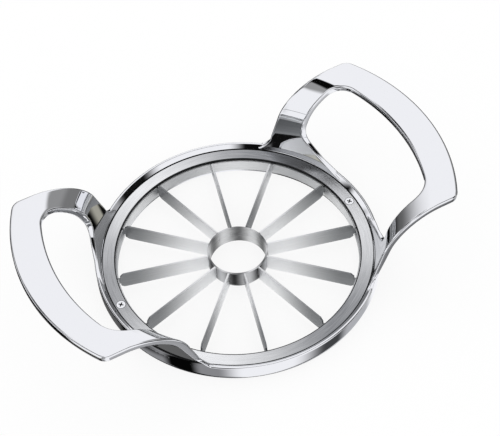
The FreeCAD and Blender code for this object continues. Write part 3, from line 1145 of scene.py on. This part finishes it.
@dataclass
class BladeBand:
    """The hoop that carries the outer ends of the blades in open notches."""

    inner_radius: float = 51.4
    outer_radius: float = 52.5
    base: float = 1.3
    top: float = 6.8
    notch_base: float = 3.8
    notch_width: float = 0.9
    edge_round: float = 0.08
    blades: int = 12
    points: int = 256

    def build(self) -> Workpiece:
        """Turn the band and cut its notches.

        Returns:
            The band.
        """
        band = Workpiece.ring("blade_hoop", self.inner_radius, self.base, self.points)
        band.turn_section(
            [
                (self.inner_radius, self.base),
                (self.outer_radius, self.base),
                (self.outer_radius, self.top),
                (self.inner_radius, self.top),
            ]
        )
        band.tidy()
        band.take_away(
            notches(
                (self.inner_radius - 1, self.outer_radius + 1),
                (self.notch_base, self.top + 1),
                self.notch_width,
                self.blades,
            )
        )
        band.round_edges(self.edge_round)
        band.smooth(30)
        return band


def notches(
    radii: tuple[float, float], heights: tuple[float, float], width: float, count: int
) -> Workpiece:
    """Return the cutter for a ring of slots, one for each blade.

    Args:
        radii: The radii at which each slot starts and ends.
        heights: The heights of its two ends.
        width: Its width.
        count: How many slots there are in a whole turn.

    Returns:
        One object with a block for each slot.
    """
    low, high = zip(radii, (-width / 2, width / 2), heights)
    slots = turned_copies(Workpiece.block("slot", low, high), ["slot"] * count)
    slots[0].join(slots[1:])
    return slots[0]


def turned_copies(first: Workpiece, names: Sequence[str]) -> list[Workpiece]:
    """Copy a piece evenly round the axis, starting half a step from +X, and remove it.

    Args:
        first: The piece, along +X.
        names: The copies' names.

    Returns:
        The copies.
    """
    leave_edit_mode()
    step = 360 / len(names)
    copies = [first.copy_turned(name, step * (number + 0.5)) for number, name in enumerate(names)]
    first.remove()
    return copies


@dataclass
class CoreRing:
    """The thin tube round the core, ground sharp below, with a window for each blade."""

    inner_radius: float = 12.0
    outer_radius: float = 12.8
    base: float = 0.3
    top: float = 9.1
    edge_width: float = 0.2
    edge_height: float = 1.4
    window_base: float = 3.8
    window_top: float = 6.8
    window_width: float = 0.9
    edge_round: float = 0.08
    blades: int = 12
    points: int = 144

    def is_outside(self, centre: Vector, normal: Vector) -> bool:
        """Return whether a face is on the outside of the tube."""
        return abs(normal.z) < 0.3 and math.hypot(centre.x, centre.y) > self.outer_radius - 0.15

    def is_inside(self, centre: Vector, normal: Vector) -> bool:
        """Return whether a face of another piece lies flush with the inside of the tube."""
        return math.hypot(centre.x, centre.y) < self.inner_radius + 0.03

    def build(self) -> Workpiece:
        """Turn the tube and cut its windows.

        Returns:
            The tube.
        """
        core = Workpiece.ring("core_tube", self.inner_radius, self.base, self.points)
        core.turn_section(
            [
                (self.inner_radius, self.base),
                (self.inner_radius + self.edge_width, self.base),
                (self.outer_radius, self.base + self.edge_height),
                (self.outer_radius, self.top),
                (self.inner_radius, self.top),
            ]
        )
        core.tidy()
        core.round_edges(self.edge_round)
        core.take_away(
            notches(
                (self.inner_radius - 1, self.outer_radius + 1),
                (self.window_base, self.window_top),
                self.window_width,
                self.blades,
            )
        )
        core.smooth(30)
        return core


@dataclass
class Blade:
    """One straight blade with a tab at each end and a ground lower edge."""

    thickness: float = 0.8
    base: float = 0.9
    top: float = 9.4
    inner_end: float = 12.85
    outer_end: float = 50.7
    inner_tab: float = 12.0
    outer_tab: float = 52.5
    tab_base: float = 3.8
    tab_top: float = 6.8
    corner: float = 1.4
    edge_round: float = 0.06
    edge_width: float = 0.2
    edge_height: float = 1.4
    count: int = 12

    def build_first(self) -> Workpiece:
        """Shape one blade along +X from a block: cut its corners, pull its tabs, grind its edge.

        Returns:
            The blade.
        """
        half = self.thickness / 2
        blade = Workpiece.block(
            "blade", (self.inner_end, -half, self.base), (self.outer_end, half, self.top)
        )
        for height, side in ((self.top, 1), (self.base, -1)):
            blade.cut((self.outer_end - self.corner, 0, height), (1, 0, side), clear=True)
        for height in (self.tab_base, self.tab_top, self.base + self.edge_height):
            blade.cut((0, 0, height), (0, 0, 1))
        for end, tab in ((self.inner_end, self.inner_tab), (self.outer_end, self.outer_tab)):
            blade.select_faces(
                lambda centre, normal: abs(normal.x) > 0.99
                and abs(centre.x - end) < 0.01
                and self.tab_base < centre.z < self.tab_top
            )
            blade.extrude((tab - end, 0, 0))
        blade.select_vertices(lambda place: place.z < self.base + 0.01)
        blade.scale((1, self.edge_width / self.thickness, 1))
        blade.tidy()
        blade.round_edges(self.edge_round)
        blade.smooth(30)
        self.unwrap(blade)
        return blade

    def unwrap(self, blade: Workpiece) -> None:
        """Give the blade a flat map in which one unit is a millimetre, along it and up.

        Args:
            blade: The blade, along +X.
        """
        layer = blade.object.data.uv_layers.new(name="along_blade")
        for loop in blade.object.data.loops:
            place = blade.object.data.vertices[loop.vertex_index].co / MM
            layer.data[loop.index].uv = (place.x, place.z + place.y)

    def build(self) -> list[Workpiece]:
        """Return all the blades in their places."""
        names = [f"cutting_blade_{number + 1:02d}" for number in range(self.count)]
        return turned_copies(self.build_first(), names)


# ---------------------------------------------------------------- finishes


def empty_material(name: str) -> bpy.types.Material:
    """Make a material with no nodes yet.

    Args:
        name: Its name.

    Returns:
        The material.
    """
    made = bpy.data.materials.new(name)
    made.use_nodes = True
    made.node_tree.nodes.clear()
    return made


def close_metal(
    made: bpy.types.Material,
    colour: Sequence[float] | bpy.types.NodeSocket,
    roughness: float,
    relief: tuple[bpy.types.NodeSocket, float, float],
    more: dict | None = None,
) -> bpy.types.Material:
    """Give a material the surface of a bare metal with a fine relief.

    Args:
        made: The material, with the nodes of its pattern.
        colour: The metal's colour, or the socket that gives it.
        roughness: How far the metal spreads what it mirrors.
        relief: The socket of the relief's height, its depth in millimetres and its strength.
        more: Further inputs of the shader.

    Returns:
        The material.
    """
    tree = made.node_tree
    height, depth_mm, strength = relief
    bump = add_node(tree, "Bump", {"Height": height, "Distance": depth_mm * MM, "Strength": strength})
    inputs = {"Base Color": colour, "Metallic": 1.0, "Roughness": roughness} | (more or {})
    inputs["Normal"] = bump.outputs["Normal"]
    shader = add_node(tree, "BsdfPrincipled", inputs)
    add_node(tree, "OutputMaterial", {"Surface": shader.outputs["BSDF"]})
    return made


@dataclass(frozen=True)
class MirrorChrome:
    """Bright nickel-chrome plating on a polished zinc casting: it mirrors the room, a little
    wavy, as polishing leaves it."""

    colour: str = "#F1F2F5"
    roughness: float = 0.03
    wave_mm: float = 14.0
    wave_height_mm: float = 0.012

    def material(self) -> bpy.types.Material:
        """Make the material.

        Returns:
            The material.
        """
        made = empty_material("mirror_chrome_plating")
        tree = made.node_tree
        place = add_node(tree, "TexCoord")
        scale = 1 / (self.wave_mm * MM)
        waves = add_node(
            tree, "TexNoise", {"Vector": place.outputs["Object"], "Scale": scale, "Detail": 1.0}
        )
        relief = (waves.outputs["Fac"], self.wave_height_mm, 1.0)
        return close_metal(made, linear(self.colour), self.roughness, relief)


@dataclass(frozen=True)
class GroundFlank:
    """The flanks of the handles, plated over the marks of the grinding belt: duller than the buffed
    faces beside them, and painted greyer, a painted reflection of the grey that they mirror."""

    # darker than the chrome's own colour: painted reflection
    colour: str = "#A9AAAD"
    roughness: float = 0.22
    line_mm: float = 0.3  # coarser than real belt marks, which are too fine to show
    run_mm: float = 6.0
    depth_mm: float = 0.01
    strength: float = 0.6

    def material(self) -> bpy.types.Material:
        """Make the material.

        Returns:
            The material.
        """
        made = empty_material("belt_ground_plating")
        tree = made.node_tree
        place = add_node(tree, "TexCoord")
        run, line = 1 / (self.run_mm * MM), 1 / (self.line_mm * MM)
        stretch = add_node(
            tree, "Mapping", {"Vector": place.outputs["Object"], "Scale": (run, run, line)}
        )
        lines = add_node(
            tree, "TexNoise", {"Vector": stretch.outputs["Vector"], "Scale": 1.0, "Detail": 2.0}
        )
        relief = (lines.outputs["Fac"], self.depth_mm, self.strength)
        return close_metal(made, linear(self.colour), self.roughness, relief)


@dataclass(frozen=True)
class LathedSteel:
    """Stainless steel brushed round the vertical axis on a lathe. The lines spread what the metal
    mirrors across them, and a painted reflection makes it lighter and darker by turns round the axis."""

    name: str
    light: str = "#FAFBFC"
    dark: str = "#8A8C8E"
    roughness: float = 0.42
    anisotropic: float = 0.85
    across_tangent: float = 0.25
    # the painted reflection: how often it turns light and dark round the axis, and where it is first
    # lightest
    sheen_waves: int = 3
    first_sheen_peak: float = -12.0
    lean: float = 0.3
    line_mm: float = 0.45  # coarser than real brushing, which is too fine to show
    run_degrees: float = 9.0
    streak_share: float = 0.35
    depth_mm: float = 0.02
    strength: float = 0.6

    def material(self) -> bpy.types.Material:
        """Make the material.

        Returns:
            The material.
        """
        made = empty_material(self.name)
        tree = made.node_tree
        place = add_node(tree, "TexCoord")
        parts = add_node(tree, "SeparateXYZ", {"Vector": place.outputs["Object"]})
        turn = add_node(
            tree, "Math", {0: parts.outputs["Y"], 1: parts.outputs["X"]}, operation="ARCTAN2"
        )
        # painted reflection: lighter and darker by turns round the axis, and darker towards one side
        first = math.radians(self.first_sheen_peak)
        phase = add_node(
            tree,
            "Math",
            {0: turn.outputs[0], 1: float(self.sheen_waves), 2: -self.sheen_waves * first},
            operation="MULTIPLY_ADD",
        )
        wave = add_node(tree, "Math", {0: phase.outputs[0]}, operation="COSINE")
        once = add_node(tree, "Math", {0: turn.outputs[0], 1: first}, operation="SUBTRACT")
        once = add_node(tree, "Math", {0: once.outputs[0]}, operation="COSINE")
        for inputs in ({0: once.outputs[0], 1: -self.lean, 2: wave.outputs[0]}, {1: 0.5, 2: 0.5}):
            wave = add_node(tree, "Math", {0: wave.outputs[0]} | inputs, operation="MULTIPLY_ADD")
        # fine lines that run round: direction for where they are, distance for which line
        flat = add_node(tree, "CombineXYZ", {"X": parts.outputs["X"], "Y": parts.outputs["Y"]})
        out = add_node(tree, "VectorMath", {0: flat.outputs[0]}, operation="LENGTH")
        line = add_node(tree, "Math", {0: out.outputs["Value"], 1: parts.outputs["Z"]}, operation="ADD")
        line = add_node(
            tree, "Math", {0: line.outputs[0], 1: 1 / (self.line_mm * MM)}, operation="MULTIPLY"
        )
        run = add_node(tree, "VectorMath", {0: flat.outputs[0]}, operation="NORMALIZE")
        run = add_node(
            tree,
            "VectorMath",
            {0: run.outputs[0], 3: 1 / math.radians(self.run_degrees)},
            operation="SCALE",
        )
        run = add_node(tree, "SeparateXYZ", {"Vector": run.outputs[0]})
        grid = add_node(
            tree, "CombineXYZ", {"X": run.outputs["X"], "Y": run.outputs["Y"], "Z": line.outputs[0]}
        )
        lines = add_node(tree, "TexNoise", {"Vector": grid.outputs[0], "Scale": 1.0, "Detail": 3.0})
        mixed = add_node(
            tree, "Mix", {0: self.streak_share, 2: wave.outputs[0], 3: lines.outputs["Fac"]}
        )
        colour = add_node(
            tree,
            "Mix",
            {0: mixed.outputs[0], 6: linear(self.dark), 7: linear(self.light)},
            data_type="RGBA",
        )
        tangent = add_node(tree, "Tangent", direction_type="RADIAL", axis="Z")
        brushing = {
            "Anisotropic": self.anisotropic,
            "Anisotropic Rotation": self.across_tangent,
            "Tangent": tangent.outputs[0],
        }
        relief = (lines.outputs["Fac"], self.depth_mm, self.strength)
        return close_metal(made, colour.outputs[2], self.roughness, relief, brushing)


@dataclass(frozen=True)
class PaintedShadeEdge:
    """The sheared edge of the sheet, rough and dull, and painted dark: a painted shadow of the gaps
    beside the edges and round the screw heads, and painted shade in the screws' recesses, so that they
    read as dark lines.
    """

    colour: str = "#2A2B2C"
    roughness: float = 0.55
    grain_mm: float = 0.3  # coarser than the real grain, which is too fine to show
    depth_mm: float = 0.02
    strength: float = 0.5

    def material(self) -> bpy.types.Material:
        """Make the material.

        Returns:
            The material.
        """
        made = empty_material("sheared_steel_edge_painted_shade")
        tree = made.node_tree
        place = add_node(tree, "TexCoord")
        scale = 1 / (self.grain_mm * MM)
        grain = add_node(
            tree, "TexNoise", {"Vector": place.outputs["Object"], "Scale": scale, "Detail": 2.0}
        )
        relief = (grain.outputs["Fac"], self.depth_mm, self.strength)
        return close_metal(made, linear(self.colour), self.roughness, relief)


@dataclass(frozen=True)
class BrushedSteel:
    """Stainless strip brushed along its length: fine lines that spread what it mirrors across
    them, and a painted reflection that runs from one tone near the core end to another at the outer end."""

    name: str = "brushed_stainless_strip"
    # painted reflection: the tone near the core end, and the tone at the outer end
    sheen_at_core_end: str = "#FCFDFE"
    sheen_at_outer_end: str = "#929496"
    sheen_fade_mm: tuple[float, float] = (18.0, 48.0)
    roughness: float = 0.45
    anisotropic: float = 0.85
    across_tangent: float = 0.25
    line_mm: float = 0.35  # coarser than real brushing, which is too fine to show
    run_mm: float = 14.0
    streak: float = 0.3
    depth_mm: float = 0.02
    strength: float = 0.6

    def material(self) -> bpy.types.Material:
        """Make the material.

        Returns:
            The material.
        """
        made = empty_material(self.name)
        tree = made.node_tree
        place = add_node(tree, "UVMap", uv_map="along_blade")
        stretch = add_node(
            tree,
            "Mapping",
            {"Vector": place.outputs["UV"], "Scale": (1 / self.run_mm, 1 / self.line_mm, 1.0)},
        )
        lines = add_node(
            tree, "TexNoise", {"Vector": stretch.outputs["Vector"], "Scale": 1.0, "Detail": 3.0}
        )
        parts = add_node(tree, "SeparateXYZ", {"Vector": place.outputs["UV"]})
        # where along the blade, in millimetres, the painted reflection runs from one tone to the other
        start, end = self.sheen_fade_mm
        along = add_node(
            tree,
            "MapRange",
            {"Value": parts.outputs["X"], "From Min": start, "From Max": end},
            interpolation_type="SMOOTHSTEP",
        )
        spread = add_node(
            tree,
            "Math",
            {0: lines.outputs["Fac"], 1: self.streak, 2: -self.streak / 2},
            operation="MULTIPLY_ADD",
        )
        share = add_node(
            tree,
            "Math",
            {0: along.outputs["Result"], 1: spread.outputs[0]},
            operation="ADD",
            use_clamp=True,
        )
        colour = add_node(
            tree,
            "Mix",
            {0: share.outputs[0], 6: linear(self.sheen_at_core_end), 7: linear(self.sheen_at_outer_end)},
            data_type="RGBA",
        )
        tangent = add_node(tree, "Tangent", direction_type="UV_MAP", uv_map="along_blade")
        brushing = {
            "Anisotropic": self.anisotropic,
            "Anisotropic Rotation": self.across_tangent,
            "Tangent": tangent.outputs[0],
        }
        relief = (lines.outputs["Fac"], self.depth_mm, self.strength)
        return close_metal(made, colour.outputs[2], self.roughness, relief, brushing)


# ---------------------------------------------------------------- studio


@dataclass(frozen=True)
class Card:
    """A card hung in the studio, seen from the object by its angles in degrees. The azimuth runs
    from the object's +X side towards +Y."""

    azimuth: tuple[float, float]
    elevation: tuple[float, float]
    colour: str
    fade: tuple[float, float] = (6.0, 4.0)

    def hang(
        self,
        tree: bpy.types.NodeTree,
        behind: bpy.types.NodeSocket,
        azimuth: bpy.types.NodeSocket,
        elevation: bpy.types.NodeSocket,
    ) -> bpy.types.NodeSocket:
        """Lay the card over the colours behind it.

        Args:
            tree: The world's node tree.
            behind: The colour so far.
            azimuth: The azimuth of the ray in degrees.
            elevation: Its elevation.

        Returns:
            The colour with the card in front.
        """
        masks = []
        for angle, (start, end), fade in (
            (azimuth, self.azimuth, self.fade[0]),
            (elevation, self.elevation, self.fade[1]),
        ):
            middle, half = (start + end) / 2, (end - start) / 2
            off = add_node(tree, "Math", {0: angle, 1: middle}, operation="SUBTRACT")
            off = add_node(tree, "Math", {0: off.outputs[0], 1: 180.0, 2: -180.0}, operation="WRAP")
            off = add_node(tree, "Math", {0: off.outputs[0]}, operation="ABSOLUTE")
            mask = add_node(
                tree,
                "MapRange",
                {
                    "Value": off.outputs[0],
                    "From Min": half - fade / 2,
                    "From Max": half + fade / 2,
                    "To Min": 1.0,
                    "To Max": 0.0,
                },
                interpolation_type="SMOOTHSTEP",
            )
            masks.append(mask.outputs["Result"])
        share = add_node(tree, "Math", {0: masks[0], 1: masks[1]}, operation="MULTIPLY")
        laid = add_node(
            tree, "Mix", {0: share.outputs[0], 6: behind, 7: linear(self.colour)}, data_type="RGBA"
        )
        return laid.outputs[2]


@dataclass(frozen=True)
class Studio:
    """The floor, the camera and the soft light round the object."""

    lens: float = 114.6
    sensor: float = 36.0
    distance: float = 672.89
    elevation: float = 51.1409
    azimuth: float = -25.6128
    roll: float = -3.6395
    aim_height: float = 8.0
    aim_across: float = -0.007730
    aim_up: float = -0.021135
    paper_radius: float = 51.0
    paper_reach: float = 16.0
    paper_fade: float = 1.4
    paper_glow: float = 0.85
    floor_size: float = 8000.0
    floor_height: float = -0.02
    disc_height: float = -0.01
    walls: str = "#FBFBFD"
    cards: tuple[Card, ...] = (
        # low band, all round: grey at the front right, dark at the back left and on the left
        Card((-60, -14), (-95, -26), "#444547", (34, 16)),
        Card((-24, 14), (-95, -26), "#B4B5B8", (16, 16)),
        Card((76, 182), (-95, -36), "#121212", (12, 8)),
        Card((140, 182), (-64, -55.4), "#8C8C8E", (12, 1.2)),
        Card((-180, -128), (-95, -38), "#8C8C8E", (22, 8)),
        Card((-184, -157), (-95, -38), "#060606", (10, 8)),
        Card((30, 98), (-89, -62), "#101010", (8, 6)),
        # fall-off behind the rear right, from white overhead to black at the floor
        Card((80, 126), (-95, 26), "#626262", (12, 56)),
        Card((80, 126), (-50, -10), "#080808", (12, 18)),
        # a dark door at the back left, lower towards the right, and the dark beams over it
        Card((116, 136), (-40, 2), "#080808", (6, 4)),
        Card((134, 152), (-40, 12), "#080808", (6, 4)),
        Card((150, 172), (-40, 22), "#080808", (6, 4)),
        Card((114, 132), (24, 52), "#080808", (6, 4)),
        Card((130, 148), (31, 54), "#080808", (6, 4)),
        Card((146, 164), (40, 58), "#080808", (6, 4)),
        Card((87, 118), (52.5, 60), "#080808", (4, 2)),
        Card((114, 156), (62, 82), "#060606", (7, 5)),
        Card((152, 184), (57, 82), "#9A9A9A", (12, 8)),
        # left rear strip
        Card((-190, -140), (-24, -12), "#101010", (12, 4)),
        Card((-190, -140), (-36, -24), "#A8A694", (12, 4)),
        # grey strip at the right
        Card((-24, 20), (-46, -20), "#A6A498", (12, 8)),
        Card((-10, 34), (-24, 48), "#949494", (10, 8)),
        Card((-20, 46), (-24, 26), "#7A7A7A", (14, 12)),
        Card((-14, 16), (-8, 2), "#242424", (8, 6)),
        Card((2, 7), (-28.5, -24.5), "#101010", (3, 2)),
        Card((-2, 3), (-31.5, -27.5), "#101010", (3, 2)),
        Card((-7, -1), (-34.5, -30.5), "#101010", (3, 2)),
        # black edge low behind
        Card((8, 90), (-46, -10), "#080808", (8, 6)),
        Card((28, 50), (-20, 6), "#080808", (8, 6)),
        # the two dark ends of the front, and a beam over it
        Card((-54, -22), (-4, 50), "#141414", (16, 10)),
        Card((-148, -120), (-4, 50), "#0C0C0C", (14, 10)),
        Card((-120, -30), (50, 66), "#080808", (8, 4)),
    )

    def camera(self) -> None:
        """Set the camera up, looking down at the slicer from the front left."""
        elevation, azimuth, roll = map(math.radians, (self.elevation, self.azimuth, self.roll))
        flat = math.cos(elevation)
        back = Vector((math.sin(azimuth) * flat, -math.cos(azimuth) * flat, math.sin(elevation)))
        level = Vector((math.cos(azimuth), math.sin(azimuth), 0))
        upright = back.cross(level)
        right = level * math.cos(roll) + upright * math.sin(roll)
        up = upright * math.cos(roll) - level * math.sin(roll)
        place = (back - right * self.aim_across - up * self.aim_up) * self.distance
        place.z += self.aim_height
        data = bpy.data.cameras.new("camera")
        data.lens = self.lens
        data.sensor_width = self.sensor
        data.clip_start = 0.01
        data.clip_end = 100
        camera = bpy.data.objects.new("camera", data)
        bpy.context.scene.collection.objects.link(camera)
        turn = Matrix((right, up, back)).transposed().to_4x4()
        camera.matrix_world = Matrix.Translation(place * MM) @ turn
        bpy.context.scene.camera = camera

    def floor(self) -> None:
        """Lay a plain white floor that keeps the object's shadow.

        Glossy rays don't see the wide floor: the polish outside mirrors the room past it. The
        blades mirror a disc of the same paper under them.
        """
        paper = self.paper()
        leave_edit_mode()
        place = (0, 0, self.floor_height * MM)
        bpy.ops.mesh.primitive_plane_add(size=self.floor_size * MM, location=place)
        floor = bpy.context.object
        floor.name = "floor"
        floor.visible_glossy = False
        floor.data.materials.append(paper)
        bpy.ops.mesh.primitive_circle_add(
            vertices=96,
            radius=self.paper_radius * MM,
            fill_type="NGON",
            location=(0, 0, self.disc_height * MM),
        )
        middle = bpy.context.object
        middle.name = "floor_under_blades"
        middle.data.materials.append(paper)

    def paper(self) -> bpy.types.Material:
        """Make the floor's white paper.

        Returns:
            The material.
        """
        made = empty_material("white_paper")
        tree = made.node_tree
        white = linear("#FFFFFF")
        paper = add_node(tree, "BsdfDiffuse", {"Color": white})
        glow = add_node(tree, "Emission", {"Color": white, "Strength": 1.0})
        ray = add_node(tree, "LightPath").outputs
        seen = ray["Is Camera Ray"]
        for kind in ("Is Transmission Ray", "Is Glossy Ray"):
            seen = add_node(tree, "Math", {0: seen, 1: ray[kind]}, operation="MAXIMUM").outputs[0]
        share = add_node(tree, "Math", {0: seen, 1: self.paper_glow}, operation="MULTIPLY")
        mix = add_node(
            tree, "MixShader", {0: share.outputs[0], 1: paper.outputs[0], 2: glow.outputs[0]}
        )
        # only metal close over the paper mirrors it, and what is higher mirrors the room past it
        near = self.paper_reach * MM
        far = add_node(
            tree,
            "MapRange",
            {"Value": ray["Ray Length"], "From Min": near, "From Max": self.paper_fade * near},
        )
        far = add_node(tree, "Math", {0: far.outputs[0], 1: ray["Is Glossy Ray"]}, operation="MULTIPLY")
        air = add_node(tree, "BsdfTransparent")
        mix = add_node(tree, "MixShader", {0: far.outputs[0], 1: mix.outputs[0], 2: air.outputs[0]})
        add_node(tree, "OutputMaterial", {"Surface": mix.outputs[0]})
        return made

    def room(self) -> None:
        """Light the object from a white room, whose dark cards only the metal mirrors."""
        world = bpy.data.worlds.new("studio")
        world.use_nodes = True
        bpy.context.scene.world = world
        tree = world.node_tree
        tree.nodes.clear()
        way = add_node(tree, "TexCoord")
        parts = add_node(tree, "SeparateXYZ", {"Vector": way.outputs["Generated"]}).outputs
        azimuth = add_node(tree, "Math", {0: parts["Y"], 1: parts["X"]}, operation="ARCTAN2")
        elevation = add_node(tree, "Math", {0: parts["Z"]}, operation="ARCSINE")
        azimuth, elevation = (
            add_node(tree, "Math", {0: angle.outputs[0]}, operation="DEGREES").outputs[0]
            for angle in (azimuth, elevation)
        )
        walls = add_node(tree, "RGB")
        walls.outputs[0].default_value = linear(self.walls)
        colour = walls.outputs[0]
        for card in self.cards:
            colour = card.hang(tree, colour, azimuth, elevation)
        ray = add_node(tree, "LightPath")
        mirrored = add_node(
            tree,
            "Mix",
            {0: ray.outputs["Is Glossy Ray"], 6: linear("#FFFFFF"), 7: colour},
            data_type="RGBA",
        )
        light = add_node(tree, "Background", {"Color": mirrored.outputs[2], "Strength": 1.0})
        add_node(tree, "OutputWorld", {"Surface": light.outputs[0]})
        bpy.context.scene.view_settings.view_transform = "Standard"


def main() -> None:
    """Build the slicer and its studio, and log the faces of each piece."""
    logging.basicConfig(level=logging.INFO, format="%(name)s: %(message)s")
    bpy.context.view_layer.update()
    studio = Studio()
    studio.camera()
    studio.floor()
    studio.room()
    chrome = MirrorChrome().material()
    # the lathed steels carry a painted reflection that is lighter and darker by turns round the axis
    lathed_ring = LathedSteel(
        "lathed_stainless_ring", dark="#74767A", roughness=0.2, anisotropic=0.75
    ).material()
    lathed_hoop = LathedSteel(
        "lathed_stainless_hoop", dark="#B0B2B4", sheen_waves=6, first_sheen_peak=62.0, lean=0.0, run_degrees=4.0
    ).material()
    lathed_tube = LathedSteel(
        "lathed_stainless_tube", dark="#303133", sheen_waves=6, first_sheen_peak=32.0, lean=0.0, run_degrees=12.0
    ).material()
    lathed_tube_outside = LathedSteel(
        "lathed_stainless_tube_outside",
        light="#D4D5D7",
        dark="#0A0B0C",
        sheen_waves=7,
        first_sheen_peak=-99.0,
        lean=0.0,
        run_degrees=12.0,
        streak_share=0.08,
    ).material()
    # the blades carry a painted reflection that changes tone along their length
    brushed = BrushedSteel().material()
    brushed_sheen_reversed = BrushedSteel(
        "brushed_stainless_strip_turned", sheen_at_core_end="#8E9092", sheen_at_outer_end="#F0F1F2"
    ).material()
    painted_shade_edge = PaintedShadeEdge().material()
    frame_casting = CastFrame()
    casting = frame_casting.build()
    casting.dress(chrome, Slot.CASTING, "handle_frame")
    # the handles' flanks take the painted grey reflection
    casting.finish_faces(GroundFlank().material(), frame_casting.is_flank)
    ring = RetainingRing()
    flat_ring = ring.build()
    flat_ring.dress(lathed_ring, Slot.RING, "retaining_ring")
    # painted shadow along the ring's edges and round its holes
    flat_ring.finish_faces(painted_shade_edge, ring.is_edge)
    for name, node, side in (("screw_a", "left_screw", -1), ("screw_b", "right_screw", 1)):
        screw = Screw(side * ring.hole_place)
        turned_screw = screw.build(name)
        turned_screw.dress(chrome, Slot.SCREWS, node)
        # painted shade in the cross recess
        turned_screw.finish_faces(painted_shade_edge, screw.is_recess)
    BladeBand().build().dress(lathed_hoop, Slot.BLADES, "blade_band")
    tube = CoreRing()
    core = tube.build()
    core.dress(lathed_tube, Slot.BLADES, "core_ring")
    core.finish_faces(lathed_tube_outside, tube.is_outside)
    for number, blade in enumerate(Blade().build(), start=1):
        # two strips have their painted reflection the other way round: dark near the core, light at the
        # outer end
        strip = brushed_sheen_reversed if number in (2, 3) else brushed
        blade.dress(strip, Slot.BLADES, f"blade_{number:02d}")
        # the tabs are turned flush with the inside of the tube
        blade.finish_faces(lathed_tube, tube.is_inside)


if __name__ == "__main__":
    main()
